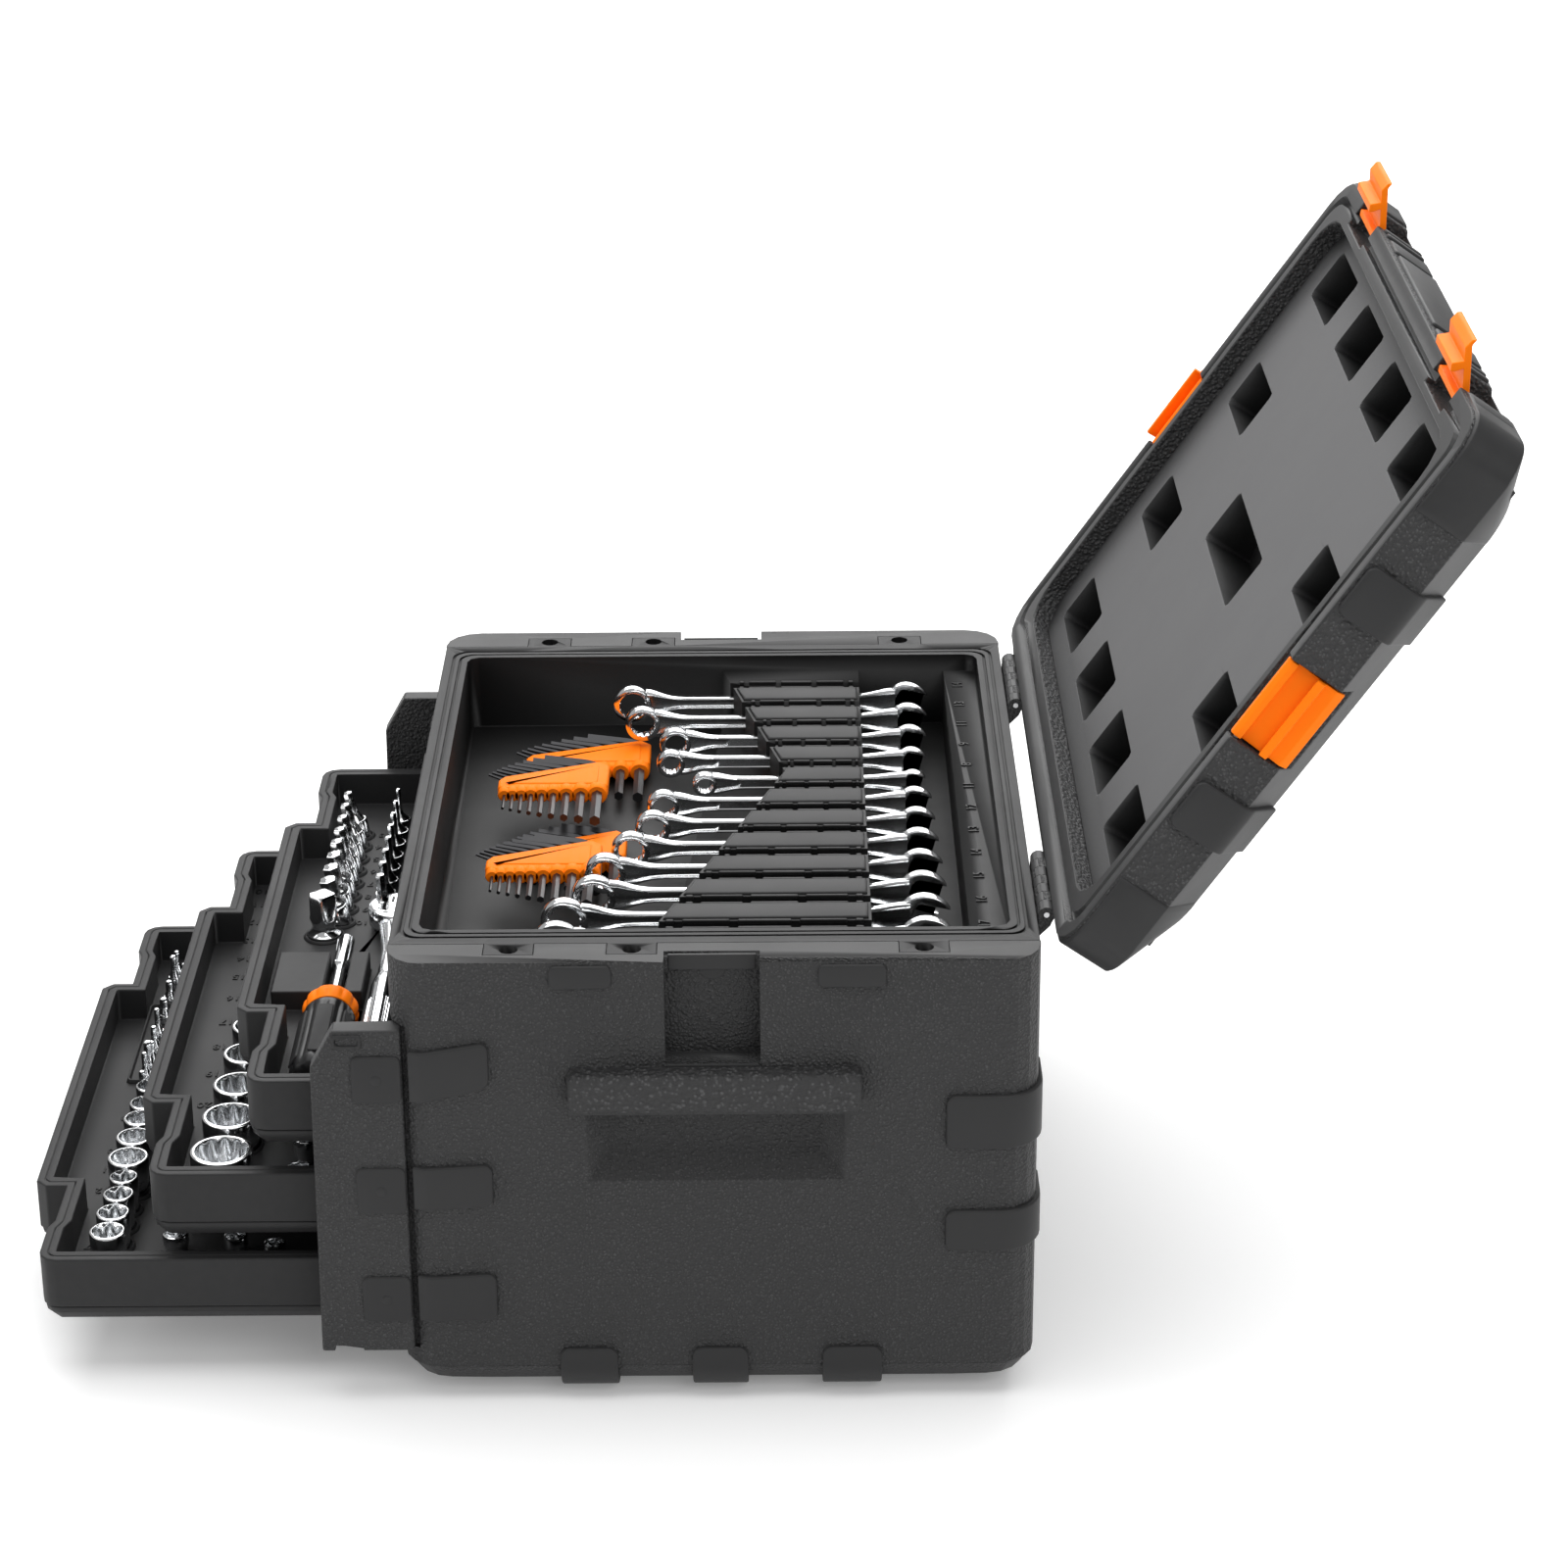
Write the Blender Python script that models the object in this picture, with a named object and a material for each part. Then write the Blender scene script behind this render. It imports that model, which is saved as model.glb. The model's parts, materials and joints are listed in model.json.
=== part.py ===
"""Socket wrench set in its case: three drawers, a top tray, a hinged lid and the larger tools.

Frame: origin at the middle of the case's underside, +Z up, -Y towards the drawers, +Y towards
the lid hinges, +X and -X the two carrying sides. Every size below is in millimetres, and the
shape functions turn it into metres. The rest position has the lid open, the drawers pulled out
in steps and the corner flaps swung forward.
"""

import math

import bmesh
import bpy
from mathutils import Matrix, Vector

MM = 0.001
GAP = 0.3

# Case
CASE_X, CASE_Y, CASE_TOP = 229.0, 167.5, 259.5
CORNER_R = 20.0
SEAM_Z = 22.0
BAY_X, BAY_Y = 213.0, 158.5
MOUTH_LOW, MOUTH_TOP = 31.0, 222.0
FLANGE_X, FLANGE_T = 206.0, 4.0
LEDGE_X, LEDGE_LOW = 198.0, 238.0
TAB_Y = (-105.0, -42.0, 107.5)
TAB_X, TAB_HALF, TAB_REACH, TAB_T = 213.0, 12.75, 219.0, 10.0
SIDE_CATCH_Y, FRONT_CATCH_X, CATCH_HALF = -1.0, 145.5, 24.5

# Top tray
TRAY_X, TRAY_Y, TRAY_WALL, TRAY_LOW = 189.0, 153.0, 3.0, 212.0
RACK_TOP, RACK_RIGHT = 250.0, 82.0
GROOVE_Z, GROOVE_HALF = 234.0, 4.0
WRENCH_PITCH = 30.0
WRENCH_BOX_Y = (-54.0, -47.0, -27.0, -29.0, -9.0, -32.0, -37.0, -48.5, -61.5, -66.5, -81.0, -84.0)
WRENCH_SIZE = (14.3, 12.7, 11.1, 9.5, 8.0, 11.0, 12.0, 13.0, 14.0, 15.0, 16.0, 17.0)
WRENCH_OPEN_Y, WRENCH_Z, WRENCH_T = 110.0, 239.0, 5.0
# Key holders: scalloped edge X, narrow end Y, underside Z, length
KEY_HOLDERS = ((-40, -124, 231, 60), (-104, -112, 217, 70), (70, -124, 231, 60), (26, -112, 217, 60))

# Drawers: front panel when pushed in, rim height, how far each stands open at rest
DRAWER_X, DRAWER_LENGTH, DRAWER_H, DRAWER_SEAM, DRAWER_FLOOR = 205.0, 317.0, 40.0, 29.0, 20.0
DRAWER_HOME_Y = -166.7
DRAWERS = {"top": (180.3, 93.5), "middle": (125.5, 148.0), "bottom": (74.2, 210.0)}

# Corner flaps
FLAP_PIN_X, FLAP_PIN_Y = 218.5, -158.5
FLAP_TIP_Y, FLAP_INNER_X = -210.0, 217.0

# Lid, in a frame with the lid closed and its origin on the hinge axis
HINGE_Y, HINGE_Z, LID_OPEN = 172.3, 260.0, 125.0
HINGE_X, HINGE_LENGTH, KNUCKLES, KNUCKLE_R, PIN_R = 142.0, 72.0, 7, 4.5, 1.5
LID_LENGTH, LID_H, LID_STRAIGHT, LID_SLOPE = 341.0, 52.0, 31.0, 30.0
LID_RIM_Z = -0.2
LID_BACK_Y = CASE_Y - HINGE_Y
LINER_DEPTH = 12.5
LATCH_W, LATCH_L, LATCH_OUT, LATCH_UP = 48.0, 30.0, 222.5, 4.5

BLACK = ((0.035, 0.035, 0.037), 0.55, 0.0)
GREY_BLACK = ((0.05, 0.05, 0.052), 0.6, 0.0)
ORANGE = ((0.9, 0.16, 0.01), 0.4, 0.0)
STEEL = ((0.55, 0.55, 0.56), 0.35, 1.0)
CHROME = ((0.8, 0.8, 0.82), 0.1, 1.0)


def clear_scene():
    """Remove whatever the scene holds."""
    for thing in list(bpy.data.objects):
        bpy.data.objects.remove(thing)


def material(name, look):
    """One Principled material: colour, roughness, metallic."""
    made = bpy.data.materials.new(name)
    made.use_nodes = True
    shader = made.node_tree.nodes["Principled BSDF"]
    colour, roughness, metallic = look
    shader.inputs["Base Color"].default_value = (*colour, 1.0)
    shader.inputs["Roughness"].default_value = roughness
    shader.inputs["Metallic"].default_value = metallic
    return made


def place(name, shape):
    """Turn a bmesh in millimetres into an object in metres, faces outward."""
    bmesh.ops.recalc_face_normals(shape, faces=shape.faces)
    bmesh.ops.scale(shape, vec=(MM, MM, MM), verts=shape.verts)
    mesh = bpy.data.meshes.new(name)
    shape.to_mesh(mesh)
    shape.free()
    thing = bpy.data.objects.new(name, mesh)
    bpy.context.scene.collection.objects.link(thing)
    return thing


def stack(levels):
    """A closed body through outlines of equal point count, each given as (z, [(x, y), ...])."""
    shape = bmesh.new()
    rings = [[shape.verts.new((x, y, z)) for x, y in outline] for z, outline in levels]
    count = len(rings[0])
    for low, high in zip(rings, rings[1:]):
        for i in range(count):
            j = (i + 1) % count
            shape.faces.new((low[i], low[j], high[j], high[i]))
    shape.faces.new(list(reversed(rings[0])))
    shape.faces.new(rings[-1])
    return place("stack", shape)


def prism(axis, outline, start, end):
    """An outline in the two other axes, in X, Y, Z order, drawn out along one axis."""
    order = {"x": (2, 0, 1), "y": (0, 2, 1), "z": (0, 1, 2)}[axis]
    shape = bmesh.new()
    rings = []
    for level in (start, end):
        corners = [(a, b, level) for a, b in outline]
        rings.append([shape.verts.new([corner[k] for k in order]) for corner in corners])
    count = len(outline)
    for i in range(count):
        j = (i + 1) % count
        shape.faces.new((rings[0][i], rings[0][j], rings[1][j], rings[1][i]))
    shape.faces.new(rings[0])
    shape.faces.new(rings[1])
    return place("prism", shape)


def block(x, y, z):
    """A box from three (low, high) pairs."""
    return prism("z", [(x[0], y[0]), (x[1], y[0]), (x[1], y[1]), (x[0], y[1])], z[0], z[1])


def circle(centre, radius, sides, start=0.0):
    """Points on a circle."""
    step = 2 * math.pi / sides
    return [
        (centre[0] + radius * math.cos(start + i * step), centre[1] + radius * math.sin(start + i * step))
        for i in range(sides)
    ]


def rod(axis, centre, radius, start, end, sides=12):
    """A round rod along one axis."""
    return prism(axis, circle(centre, radius, sides, math.pi / sides), start, end)


def rounded(half_x, half_y, radius, steps=4):
    """Outline of a rectangle about the origin with round corners."""
    points = []
    for quarter, (sx, sy) in enumerate(((1, 1), (-1, 1), (-1, -1), (1, -1))):
        centre = (sx * (half_x - radius), sy * (half_y - radius))
        for i in range(steps + 1):
            angle = (quarter + i / steps) * math.pi / 2
            points.append((centre[0] + radius * math.cos(angle), centre[1] + radius * math.sin(angle)))
    return points


def shifted(outline, dx, dy):
    """An outline moved in its plane."""
    return [(x + dx, y + dy) for x, y in outline]


def mirrored(outline):
    """A right half outline closed by its mirror image in X."""
    return outline + [(-x, y) for x, y in reversed(outline)]


def carve(body, operation, tools):
    """Join or cut the body with each tool in turn, keep the result, and drop the tools."""
    for tool in tools:
        step = body.modifiers.new(operation, "BOOLEAN")
        step.operation = operation
        step.object = tool
    bpy.context.view_layer.update()
    graph = bpy.context.evaluated_depsgraph_get()
    mesh = bpy.data.meshes.new_from_object(body.evaluated_get(graph))
    body.modifiers.clear()
    body.data = mesh
    for tool in tools:
        bpy.data.objects.remove(tool)
    return body


def join(body, *tools):
    """Union."""
    return carve(body, "UNION", tools)


def cut(body, *tools):
    """Difference."""
    return carve(body, "DIFFERENCE", tools)


def finish(name, body, look, origin=None, smooth=False, parent=None):
    """Name a body, give it its material, and set its origin in millimetres."""
    body.name = name
    body.data.name = name
    body.data.materials.clear()
    body.data.materials.append(material(name, look))
    if origin is not None:
        shift = Vector(origin) * MM
        body.data.transform(Matrix.Translation(-shift))
        body.location = shift
    if smooth:
        body.data.shade_smooth()
        body.data.set_sharp_from_angle(angle=math.radians(35))
    if parent is not None:
        body.parent = parent
    return body


def base_tub():
    """Shallow pan that closes the case from below, chamfered towards the floor."""
    def level(z, inset):
        return z, rounded(CASE_X - inset, CASE_Y - inset, CORNER_R)

    body = stack([level(0, 24), level(12, 5.5), level(SEAM_Z - GAP, 0.8)])
    hollow = stack([level(4, 32), level(13, 17), level(SEAM_Z + 1, 15)])
    finish("base_tub", cut(body, hollow), BLACK, origin=(0, 0, 0))


def grip(side):
    """Moulded lifting bar above the finger recess."""
    profile = [(side * x, z) for x, z in ((CASE_X - 2, 178.5), (241, 178.5), (241, 194), (CASE_X - 2, 200))]
    return prism("y", profile, -74, 74)


def finger_recess(side):
    """Cutter of the finger recess: wide at the wall, smaller at its floor."""
    mouth = [(-67, 133), (67, 133), (67, 176), (-67, 176)]
    floor = [(-54, 144), (54, 144), (54, 176), (-54, 176)]
    shape = bmesh.new()
    rings = [
        [shape.verts.new((side * x, y, z)) for y, z in outline]
        for x, outline in ((CASE_X + 0.5, mouth), (CASE_X - 13, floor))
    ]
    for i in range(4):
        j = (i + 1) % 4
        shape.faces.new((rings[0][i], rings[0][j], rings[1][j], rings[1][i]))
    shape.faces.new(rings[0])
    shape.faces.new(rings[1])
    return place("recess", shape)


def case_knuckles(centre):
    """The case's hinge knuckles with their feet on the back wall, bored for the pin."""
    pitch = HINGE_LENGTH / KNUCKLES
    bodies = []
    for i in range(0, KNUCKLES, 2):
        low = centre - HINGE_LENGTH / 2 + i * pitch + GAP / 2
        high = low + pitch - GAP
        foot = [(CASE_Y - 1, 246), (HINGE_Y + 2, 254), (HINGE_Y + 4, HINGE_Z - 1), (HINGE_Y, HINGE_Z),
                (CASE_Y + 0.3, HINGE_Z - 2), (CASE_Y + 0.3, 254), (CASE_Y - 1, 254)]
        bodies.append(prism("x", foot, low, high))
        bodies.append(rod("x", (HINGE_Y, HINGE_Z), KNUCKLE_R, low, high))
    return bodies


def case_shell():
    """Main walls: drawer mouth, tray ledge, latch catches, lifting bars, hinge knuckles."""
    outline = rounded(CASE_X, CASE_Y, CORNER_R)
    body = prism("z", outline, SEAM_Z, CASE_TOP)
    body = join(body, grip(1), grip(-1))
    tools = [
        block((-BAY_X, BAY_X), (-BAY_Y, BAY_Y), (SEAM_Z - 1, LEDGE_LOW)),
        block((-LEDGE_X, LEDGE_X), (-BAY_Y, BAY_Y), (LEDGE_LOW - 1, CASE_TOP + 1)),
        block((-FLANGE_X - GAP, FLANGE_X + GAP), (-CASE_Y - 2, CASE_Y + 2),
              (CASE_TOP - FLANGE_T - GAP, CASE_TOP + 1)),
        block((-BAY_X, BAY_X), (-CASE_Y - 2, -BAY_Y + 1), (MOUTH_LOW, MOUTH_TOP)),
    ]
    for side in (-1, 1):
        tools.append(block(sorted((side * (BAY_X - 3), side * (CASE_X + 2))), (-CASE_Y - 2, FLAP_PIN_Y),
                           (MOUTH_LOW, MOUTH_TOP)))
        tools.append(rod("z", (side * FLAP_PIN_X, FLAP_PIN_Y), 4.6, MOUTH_LOW, MOUTH_TOP, 16))
        tools.append(rod("z", (side * FLAP_PIN_X, FLAP_PIN_Y), PIN_R + GAP, MOUTH_LOW - 5, MOUTH_TOP + 5))
        tools.append(finger_recess(side))
        tools.append(block(sorted((side * (CASE_X - 13), side * (CASE_X + 2))),
                           (SIDE_CATCH_Y - CATCH_HALF, SIDE_CATCH_Y + CATCH_HALF), (202, CASE_TOP + 1)))
        front = side * FRONT_CATCH_X
        tools.append(block((front - CATCH_HALF, front + CATCH_HALF), (-CASE_Y - 2, -CASE_Y + 5.5),
                           (MOUTH_TOP + 4, CASE_TOP + 1)))
        for y in TAB_Y:
            tools.append(block(sorted((side * (LEDGE_X + 3), side * (TAB_REACH + GAP))),
                               (y - TAB_HALF - GAP, y + TAB_HALF + GAP), (CASE_TOP - TAB_T - GAP, CASE_TOP + 1)))
            tools.append(rod("z", (side * TAB_X, y), 2.3, LEDGE_LOW + 1, CASE_TOP))
    body = cut(body, *tools)
    catches = []
    for side in (-1, 1):
        catches.append(block(sorted((side * (CASE_X - 14), side * 219.5)),
                             (SIDE_CATCH_Y - CATCH_HALF - 1, SIDE_CATCH_Y + CATCH_HALF + 1), (251, 258)))
        front = side * FRONT_CATCH_X
        catches.append(block((front - CATCH_HALF - 1, front + CATCH_HALF + 1), (-CASE_Y + 2.5, -CASE_Y + 7),
                             (251, 254.5)))
        catches.extend(case_knuckles(side * HINGE_X))
    body = join(body, *catches)
    bores = [
        rod("x", (HINGE_Y, HINGE_Z), PIN_R + GAP, side * HINGE_X - 40, side * HINGE_X + 40)
        for side in (-1, 1)
    ]
    finish("case_shell", cut(body, *bores), BLACK, origin=(0, 0, 0))


def runner(side, name):
    """Side frame with a ledge under and a lip over each drawer's edge."""
    x = sorted((side * 207.5, side * 211.5))
    body = block(x, (-150, 150), (SEAM_Z + 2, 188))
    rails = []
    for rim, _ in DRAWERS.values():
        floor = rim - DRAWER_H
        rails.append(block(sorted((side * 188, side * 209)), (-148, 148), (floor - 3.3, floor - GAP)))
        rails.append(block(sorted((side * 199, side * 209)), (-148, 148), (rim + 0.6, rim + 3.6)))
    finish(name, join(body, *rails), GREY_BLACK)


def tray_screw(x, y, name):
    """Screw that holds one tray tab to the case ledge."""
    body = join(rod("z", (x, y), 4.5, 251.8, 254.4), rod("z", (x, y), 2.0, LEDGE_LOW + 2, 252))
    finish(name, body, STEEL, origin=(x, y, 252), smooth=True)


def rack_outline():
    """Plan of the wrench rack: its left edge runs in a shallow V."""
    half = TRAY_X + 1
    return [(-half, RACK_RIGHT), (-half, 0), (-36, 37), (156, -28), (half, -40), (half, RACK_RIGHT)]


def top_tray():
    """Lift-out tray: wide flange with screw tabs, deep bay, wrench rack and label shelf."""
    outer = [TRAY_X + TRAY_WALL, TRAY_Y + TRAY_WALL]
    body = prism("z", rounded(outer[0], outer[1], 10, 2), TRAY_LOW, CASE_TOP - 1)
    plate = [block((-FLANGE_X, FLANGE_X), (-CASE_Y + GAP, CASE_Y - GAP), (CASE_TOP - FLANGE_T, CASE_TOP))]
    for side in (-1, 1):
        for y in TAB_Y:
            plate.append(block(sorted((side * (FLANGE_X - 4), side * TAB_REACH)),
                               (y - TAB_HALF, y + TAB_HALF), (CASE_TOP - TAB_T, CASE_TOP)))
    body = join(body, *plate)
    well = prism("z", rounded(TRAY_X, TRAY_Y, 7, 2), TRAY_LOW + TRAY_WALL, CASE_TOP + 1)
    body = cut(body, well)
    shelf = block((-TRAY_X - 1, TRAY_X + 1), (133, TRAY_Y + 1), (TRAY_LOW + 1, RACK_TOP - 1))
    body = join(body, prism("z", rack_outline(), TRAY_LOW + 1, RACK_TOP), shelf)
    tools = []
    for i in range(len(WRENCH_SIZE)):
        x = wrench_x(i)
        tools.append(block((x - GROOVE_HALF, x + GROOVE_HALF), (-60, RACK_RIGHT + 3), (GROOVE_Z, RACK_TOP + 2)))
    for side in (-1, 1):
        for y in TAB_Y:
            tools.append(rod("z", (side * TAB_X, y), 5.0, 251.5, CASE_TOP + 1))
            tools.append(rod("z", (side * TAB_X, y), 2.3, CASE_TOP - TAB_T - 1, 252))
    finish("top_tray", cut(body, *tools), BLACK)


def wrench_x(index):
    """Place of a wrench across the tray."""
    return (index - (len(WRENCH_SIZE) - 1) / 2) * WRENCH_PITCH


def wrench(index):
    """Combination wrench standing on edge: ring towards the drawers, open jaw towards the hinges."""
    size, ring_y = WRENCH_SIZE[index], WRENCH_BOX_Y[index]
    low, high = -WRENCH_T / 2, WRENCH_T / 2
    ring_r, bore_r, jaw_r = size * 0.72 + 1.4, size * 0.53, size * 0.84 + 0.6
    body = rod("z", (0, ring_y), ring_r, low - 0.2, high + 2.0, 16)
    shank = block((-3.8, 3.8), (ring_y + bore_r + 0.6, WRENCH_OPEN_Y - 2), (low, high))
    jaw = rod("z", (0, WRENCH_OPEN_Y), jaw_r, low - 0.3, high + 0.3, 12)
    body = join(body, shank, jaw)
    slot = block((-size / 2, size / 2), (-size * 0.25, 60), (low - 3, high + 3))
    slot.data.transform(Matrix.Rotation(math.radians(-15), 4, "Z"))
    slot.data.transform(Matrix.Translation((0, WRENCH_OPEN_Y * MM, 0)))
    bore = rod("z", (0, ring_y), bore_r, low - 3, high + 5, 12)
    body = cut(body, slot, bore)
    body.data.transform(Matrix.Rotation(math.pi / 2, 4, "Y"))
    origin = (wrench_x(index), 0, WRENCH_Z)
    body.data.transform(Matrix.Translation(Vector(origin) * MM))
    finish(f"wrench_{index + 1:02d}", body, CHROME, origin=origin, smooth=True)


def key_holder(name, x, y, low, length):
    """Tapered clip that holds a row of hex keys; x is its scalloped edge."""
    outline = [(x, y), (x + 1, y + length - 6), (x - 5, y + length), (x - 32, y + length), (x - 38, y + length - 6),
               (x - 17, y), (x - 12, y - 3), (x - 3, y - 3)]
    finish(name, prism("z", outline, low, low + 8), ORANGE)


def drawer_outline(front_y, inset=0.0):
    """Plan of a drawer: proud middle panel, finger steps, ears and round corners."""
    t = inset
    right = [(118.5 - t / 2, t), (124.5 - t, 6 + t / 2), (124.5 - t, 17.5 + t), (162, 17.5 + t), (170, 14.5 + t)]
    radius = max(10 - t, 1.0)
    reach = DRAWER_X - t - radius
    for angle in (-90, -60, -30, 0):
        turn = math.radians(angle)
        right.append((reach + radius * math.cos(turn), 14.5 + t + radius + radius * math.sin(turn)))
    for angle in (0, 45, 90):
        turn = math.radians(angle)
        right.append((reach + radius * math.cos(turn), DRAWER_LENGTH - t - radius + radius * math.sin(turn)))
    return shifted(mirrored(right), 0, front_y)


def drawer_tray(rim, front_y, pockets=(), wells=()):
    """Upper part of a drawer: thin-walled, open above for tools and below towards its pan."""
    body = stack([(rim - DRAWER_SEAM, drawer_outline(front_y)), (rim, drawer_outline(front_y))])
    hollow = prism("z", drawer_outline(front_y, 9), rim - DRAWER_FLOOR, rim + 1)
    under = prism("z", drawer_outline(front_y, 3), rim - DRAWER_SEAM - 1, rim - DRAWER_FLOOR - 3)
    body = cut(body, hollow, under)
    return cut(join(body, *pockets), *wells) if pockets else body


def drawer_pan(name, rim, front_y):
    """Lower part of a drawer: a shallow pan with chamfered edges."""
    low, high = rim - DRAWER_H, rim - DRAWER_SEAM - GAP
    body = stack([(low, drawer_outline(front_y, 8)), (low + 7, drawer_outline(front_y, 1.5)),
                  (high, drawer_outline(front_y, 0.8))])
    hollow = stack([(low + 3, drawer_outline(front_y, 9.5)), (high + 1, drawer_outline(front_y, 5))])
    finish(name, cut(body, hollow), BLACK, origin=(0, front_y, low))


def socket(name, x, y, radius, floor, height):
    """Twelve-sided socket standing on its drive end."""
    body = rod("z", (x, y), radius, floor, floor + height, 20)
    mouth = rod("z", (x, y), radius * 0.82, floor + height * 0.55, floor + height + 1, 12)
    drive = block((x - 6.4, x + 6.4), (y - 6.4, y + 6.4), (floor - 1, floor + height * 0.6))
    finish(name, cut(body, mouth, drive), CHROME, origin=(x, y, floor), smooth=True)


SOCKETS = ((175.4, 17.0), (136.5, 15.5), (99.8, 14.3), (63.1, 13.2), (29.3, 12.4))
SOCKET_ROW_Y, SOCKET_H, SOCKET_FLOOR = 50.0, 32.5, 34.0


def middle_drawer():
    """Drawer with the row of large sockets in round wells."""
    rim, out = DRAWERS["middle"]
    front_y = DRAWER_HOME_Y - out
    row_y = front_y + SOCKET_ROW_Y
    floor = rim - SOCKET_FLOOR
    under = block((12, 195), (row_y - 20, row_y + 20), (floor - 2.5, rim - DRAWER_FLOOR - 1))
    wells = [rod("z", (x, row_y), radius + 1, floor - GAP, rim, 16) for x, radius in SOCKETS]
    body = drawer_tray(rim, front_y, [under], wells)
    finish("drawer_middle_tray", body, BLACK, origin=(0, front_y, rim))
    drawer_pan("drawer_middle_pan", rim, front_y)
    for number, (x, radius) in enumerate(SOCKETS, 1):
        socket(f"socket_{number}", x, row_y, radius, floor, SOCKET_H)


def bottom_drawer():
    """Drawer whose bits and sockets are small."""
    rim, out = DRAWERS["bottom"]
    front_y = DRAWER_HOME_Y - out
    body = drawer_tray(rim, front_y)
    finish("drawer_bottom_tray", body, BLACK, origin=(0, front_y, rim))
    drawer_pan("drawer_bottom_pan", rim, front_y)


DRIVER_Y, DRIVER_Z = -212.0, 166.0
RATCHET_X, RATCHET_Y, RATCHET_Z = -22.0, -185.0, 168.0


def top_drawer():
    """Drawer with the screwdriver and the ratchet in moulded channels."""
    rim, out = DRAWERS["top"]
    front_y = DRAWER_HOME_Y - out
    floor = rim - DRAWER_FLOOR
    pockets = [
        block((80, 190), (DRIVER_Y - 20, DRIVER_Y + 20), (rim - 36, floor - 1)),
        block((34, 84), (front_y + 14, DRIVER_Y - 6), (floor - 1, 172)),
        block((34, 84), (DRIVER_Y + 6, DRIVER_Y + 16), (floor - 1, 172)),
    ]
    wells = [
        rod("x", (DRIVER_Y, DRIVER_Z), 16.4, 85, 186, 16),
        rod("z", (RATCHET_X, RATCHET_Y), 8.5, floor - 5, floor + 2, 12),
    ]
    body = drawer_tray(rim, front_y, pockets, wells)
    finish("drawer_top_tray", body, BLACK, origin=(0, front_y, rim))
    drawer_pan("drawer_top_pan", rim, front_y)


def screwdriver():
    """Handle, turning collar and shaft of the screwdriver, in line along X."""
    axis = (DRIVER_Y, DRIVER_Z)
    handle = join(rod("x", axis, 14.5, 106, 181, 16), rod("x", axis, 6, 87, 107))
    finish("screwdriver_handle", cut(handle, rod("x", axis, 3.9, 80, 100)), BLACK, smooth=True)
    collar = cut(rod("x", axis, 15.5, 88, 105.5, 20), rod("x", axis, 6.4, 80, 110))
    finish("screwdriver_collar", collar, ORANGE, origin=(96, *axis), smooth=True)
    shaft = join(rod("x", axis, 3.5, 42, 99.5), rod("x", axis, 5, 9, 44))
    finish("screwdriver_shaft", shaft, CHROME, smooth=True)


def ratchet():
    """Ratchet lying flat: round head, long handle, and the square drive that turns below."""
    head = rod("z", (RATCHET_X, RATCHET_Y), 17, RATCHET_Z - 5, RATCHET_Z + 7, 20)
    neck = prism("z", [(RATCHET_X, RATCHET_Y - 9), (20, RATCHET_Y - 5), (20, RATCHET_Y + 5),
                       (RATCHET_X, RATCHET_Y + 9)], RATCHET_Z - 4, RATCHET_Z + 5)
    shank = rod("x", (RATCHET_Y, RATCHET_Z), 5.5, 18, 92)
    handle = rod("x", (RATCHET_Y, RATCHET_Z), 7.3, 90, 176, 16)
    finish("ratchet_handle", join(head, neck, shank, handle), CHROME, smooth=True)
    drive = join(rod("z", (RATCHET_X, RATCHET_Y), 7.6, RATCHET_Z - 7.5, RATCHET_Z - 5.3, 16),
                 block((RATCHET_X - 4.7, RATCHET_X + 4.7), (RATCHET_Y - 4.7, RATCHET_Y + 4.7),
                       (RATCHET_Z - 18, RATCHET_Z - 6)))
    finish("ratchet_drive", drive, CHROME, origin=(RATCHET_X, RATCHET_Y, RATCHET_Z))


def corner_flap(side, name):
    """Flap that carries on the side wall in front of the case, on a vertical pin."""
    outline = [(-161, MOUTH_LOW + 0.5), (FLAP_TIP_Y, MOUTH_LOW + 0.5), (-208, 200), (-196, MOUTH_TOP - 0.5),
               (-161, MOUTH_TOP - 0.5)]
    plate = prism("x", outline, *sorted((side * FLAP_INNER_X, side * CASE_X)))
    barrel = rod("z", (side * FLAP_PIN_X, FLAP_PIN_Y), 4.0, MOUTH_LOW + 0.5, MOUTH_TOP - 0.5, 16)
    notch = block(sorted((side * (FLAP_INNER_X - 1), side * (CASE_X + 1))), (-203, -188), (MOUTH_LOW, MOUTH_LOW + 3.5))
    bore = rod("z", (side * FLAP_PIN_X, FLAP_PIN_Y), PIN_R + GAP, MOUTH_LOW - 1, MOUTH_TOP + 1)
    body = cut(join(plate, barrel), notch, bore)
    finish(name, body, BLACK, origin=(side * FLAP_PIN_X, FLAP_PIN_Y, MOUTH_LOW))


def flap_pin(side, name):
    """Steel pin of a corner flap, held in the sill and the band."""
    pin = rod("z", (side * FLAP_PIN_X, FLAP_PIN_Y), PIN_R, MOUTH_LOW - 4.5, MOUTH_TOP + 4.5)
    finish(name, pin, STEEL, origin=(side * FLAP_PIN_X, FLAP_PIN_Y, MOUTH_LOW), smooth=True)


def lid_axis():
    """Empty on the lid's hinge axis, turned to the open position."""
    axis = bpy.data.objects.new("lid_axis", None)
    axis.location = Vector((0, HINGE_Y, HINGE_Z)) * MM
    axis.rotation_euler = (math.radians(-LID_OPEN), 0, 0)
    bpy.context.scene.collection.objects.link(axis)
    return axis


def lid_level(height, inset, radius=22.0):
    """One outline of the lid, inset from its outer wall, in the closed frame."""
    outline = rounded(CASE_X - inset, LID_LENGTH / 2 - inset, radius)
    return LID_RIM_Z + height, shifted(outline, 0, LID_BACK_Y - LID_LENGTH / 2)


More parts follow.
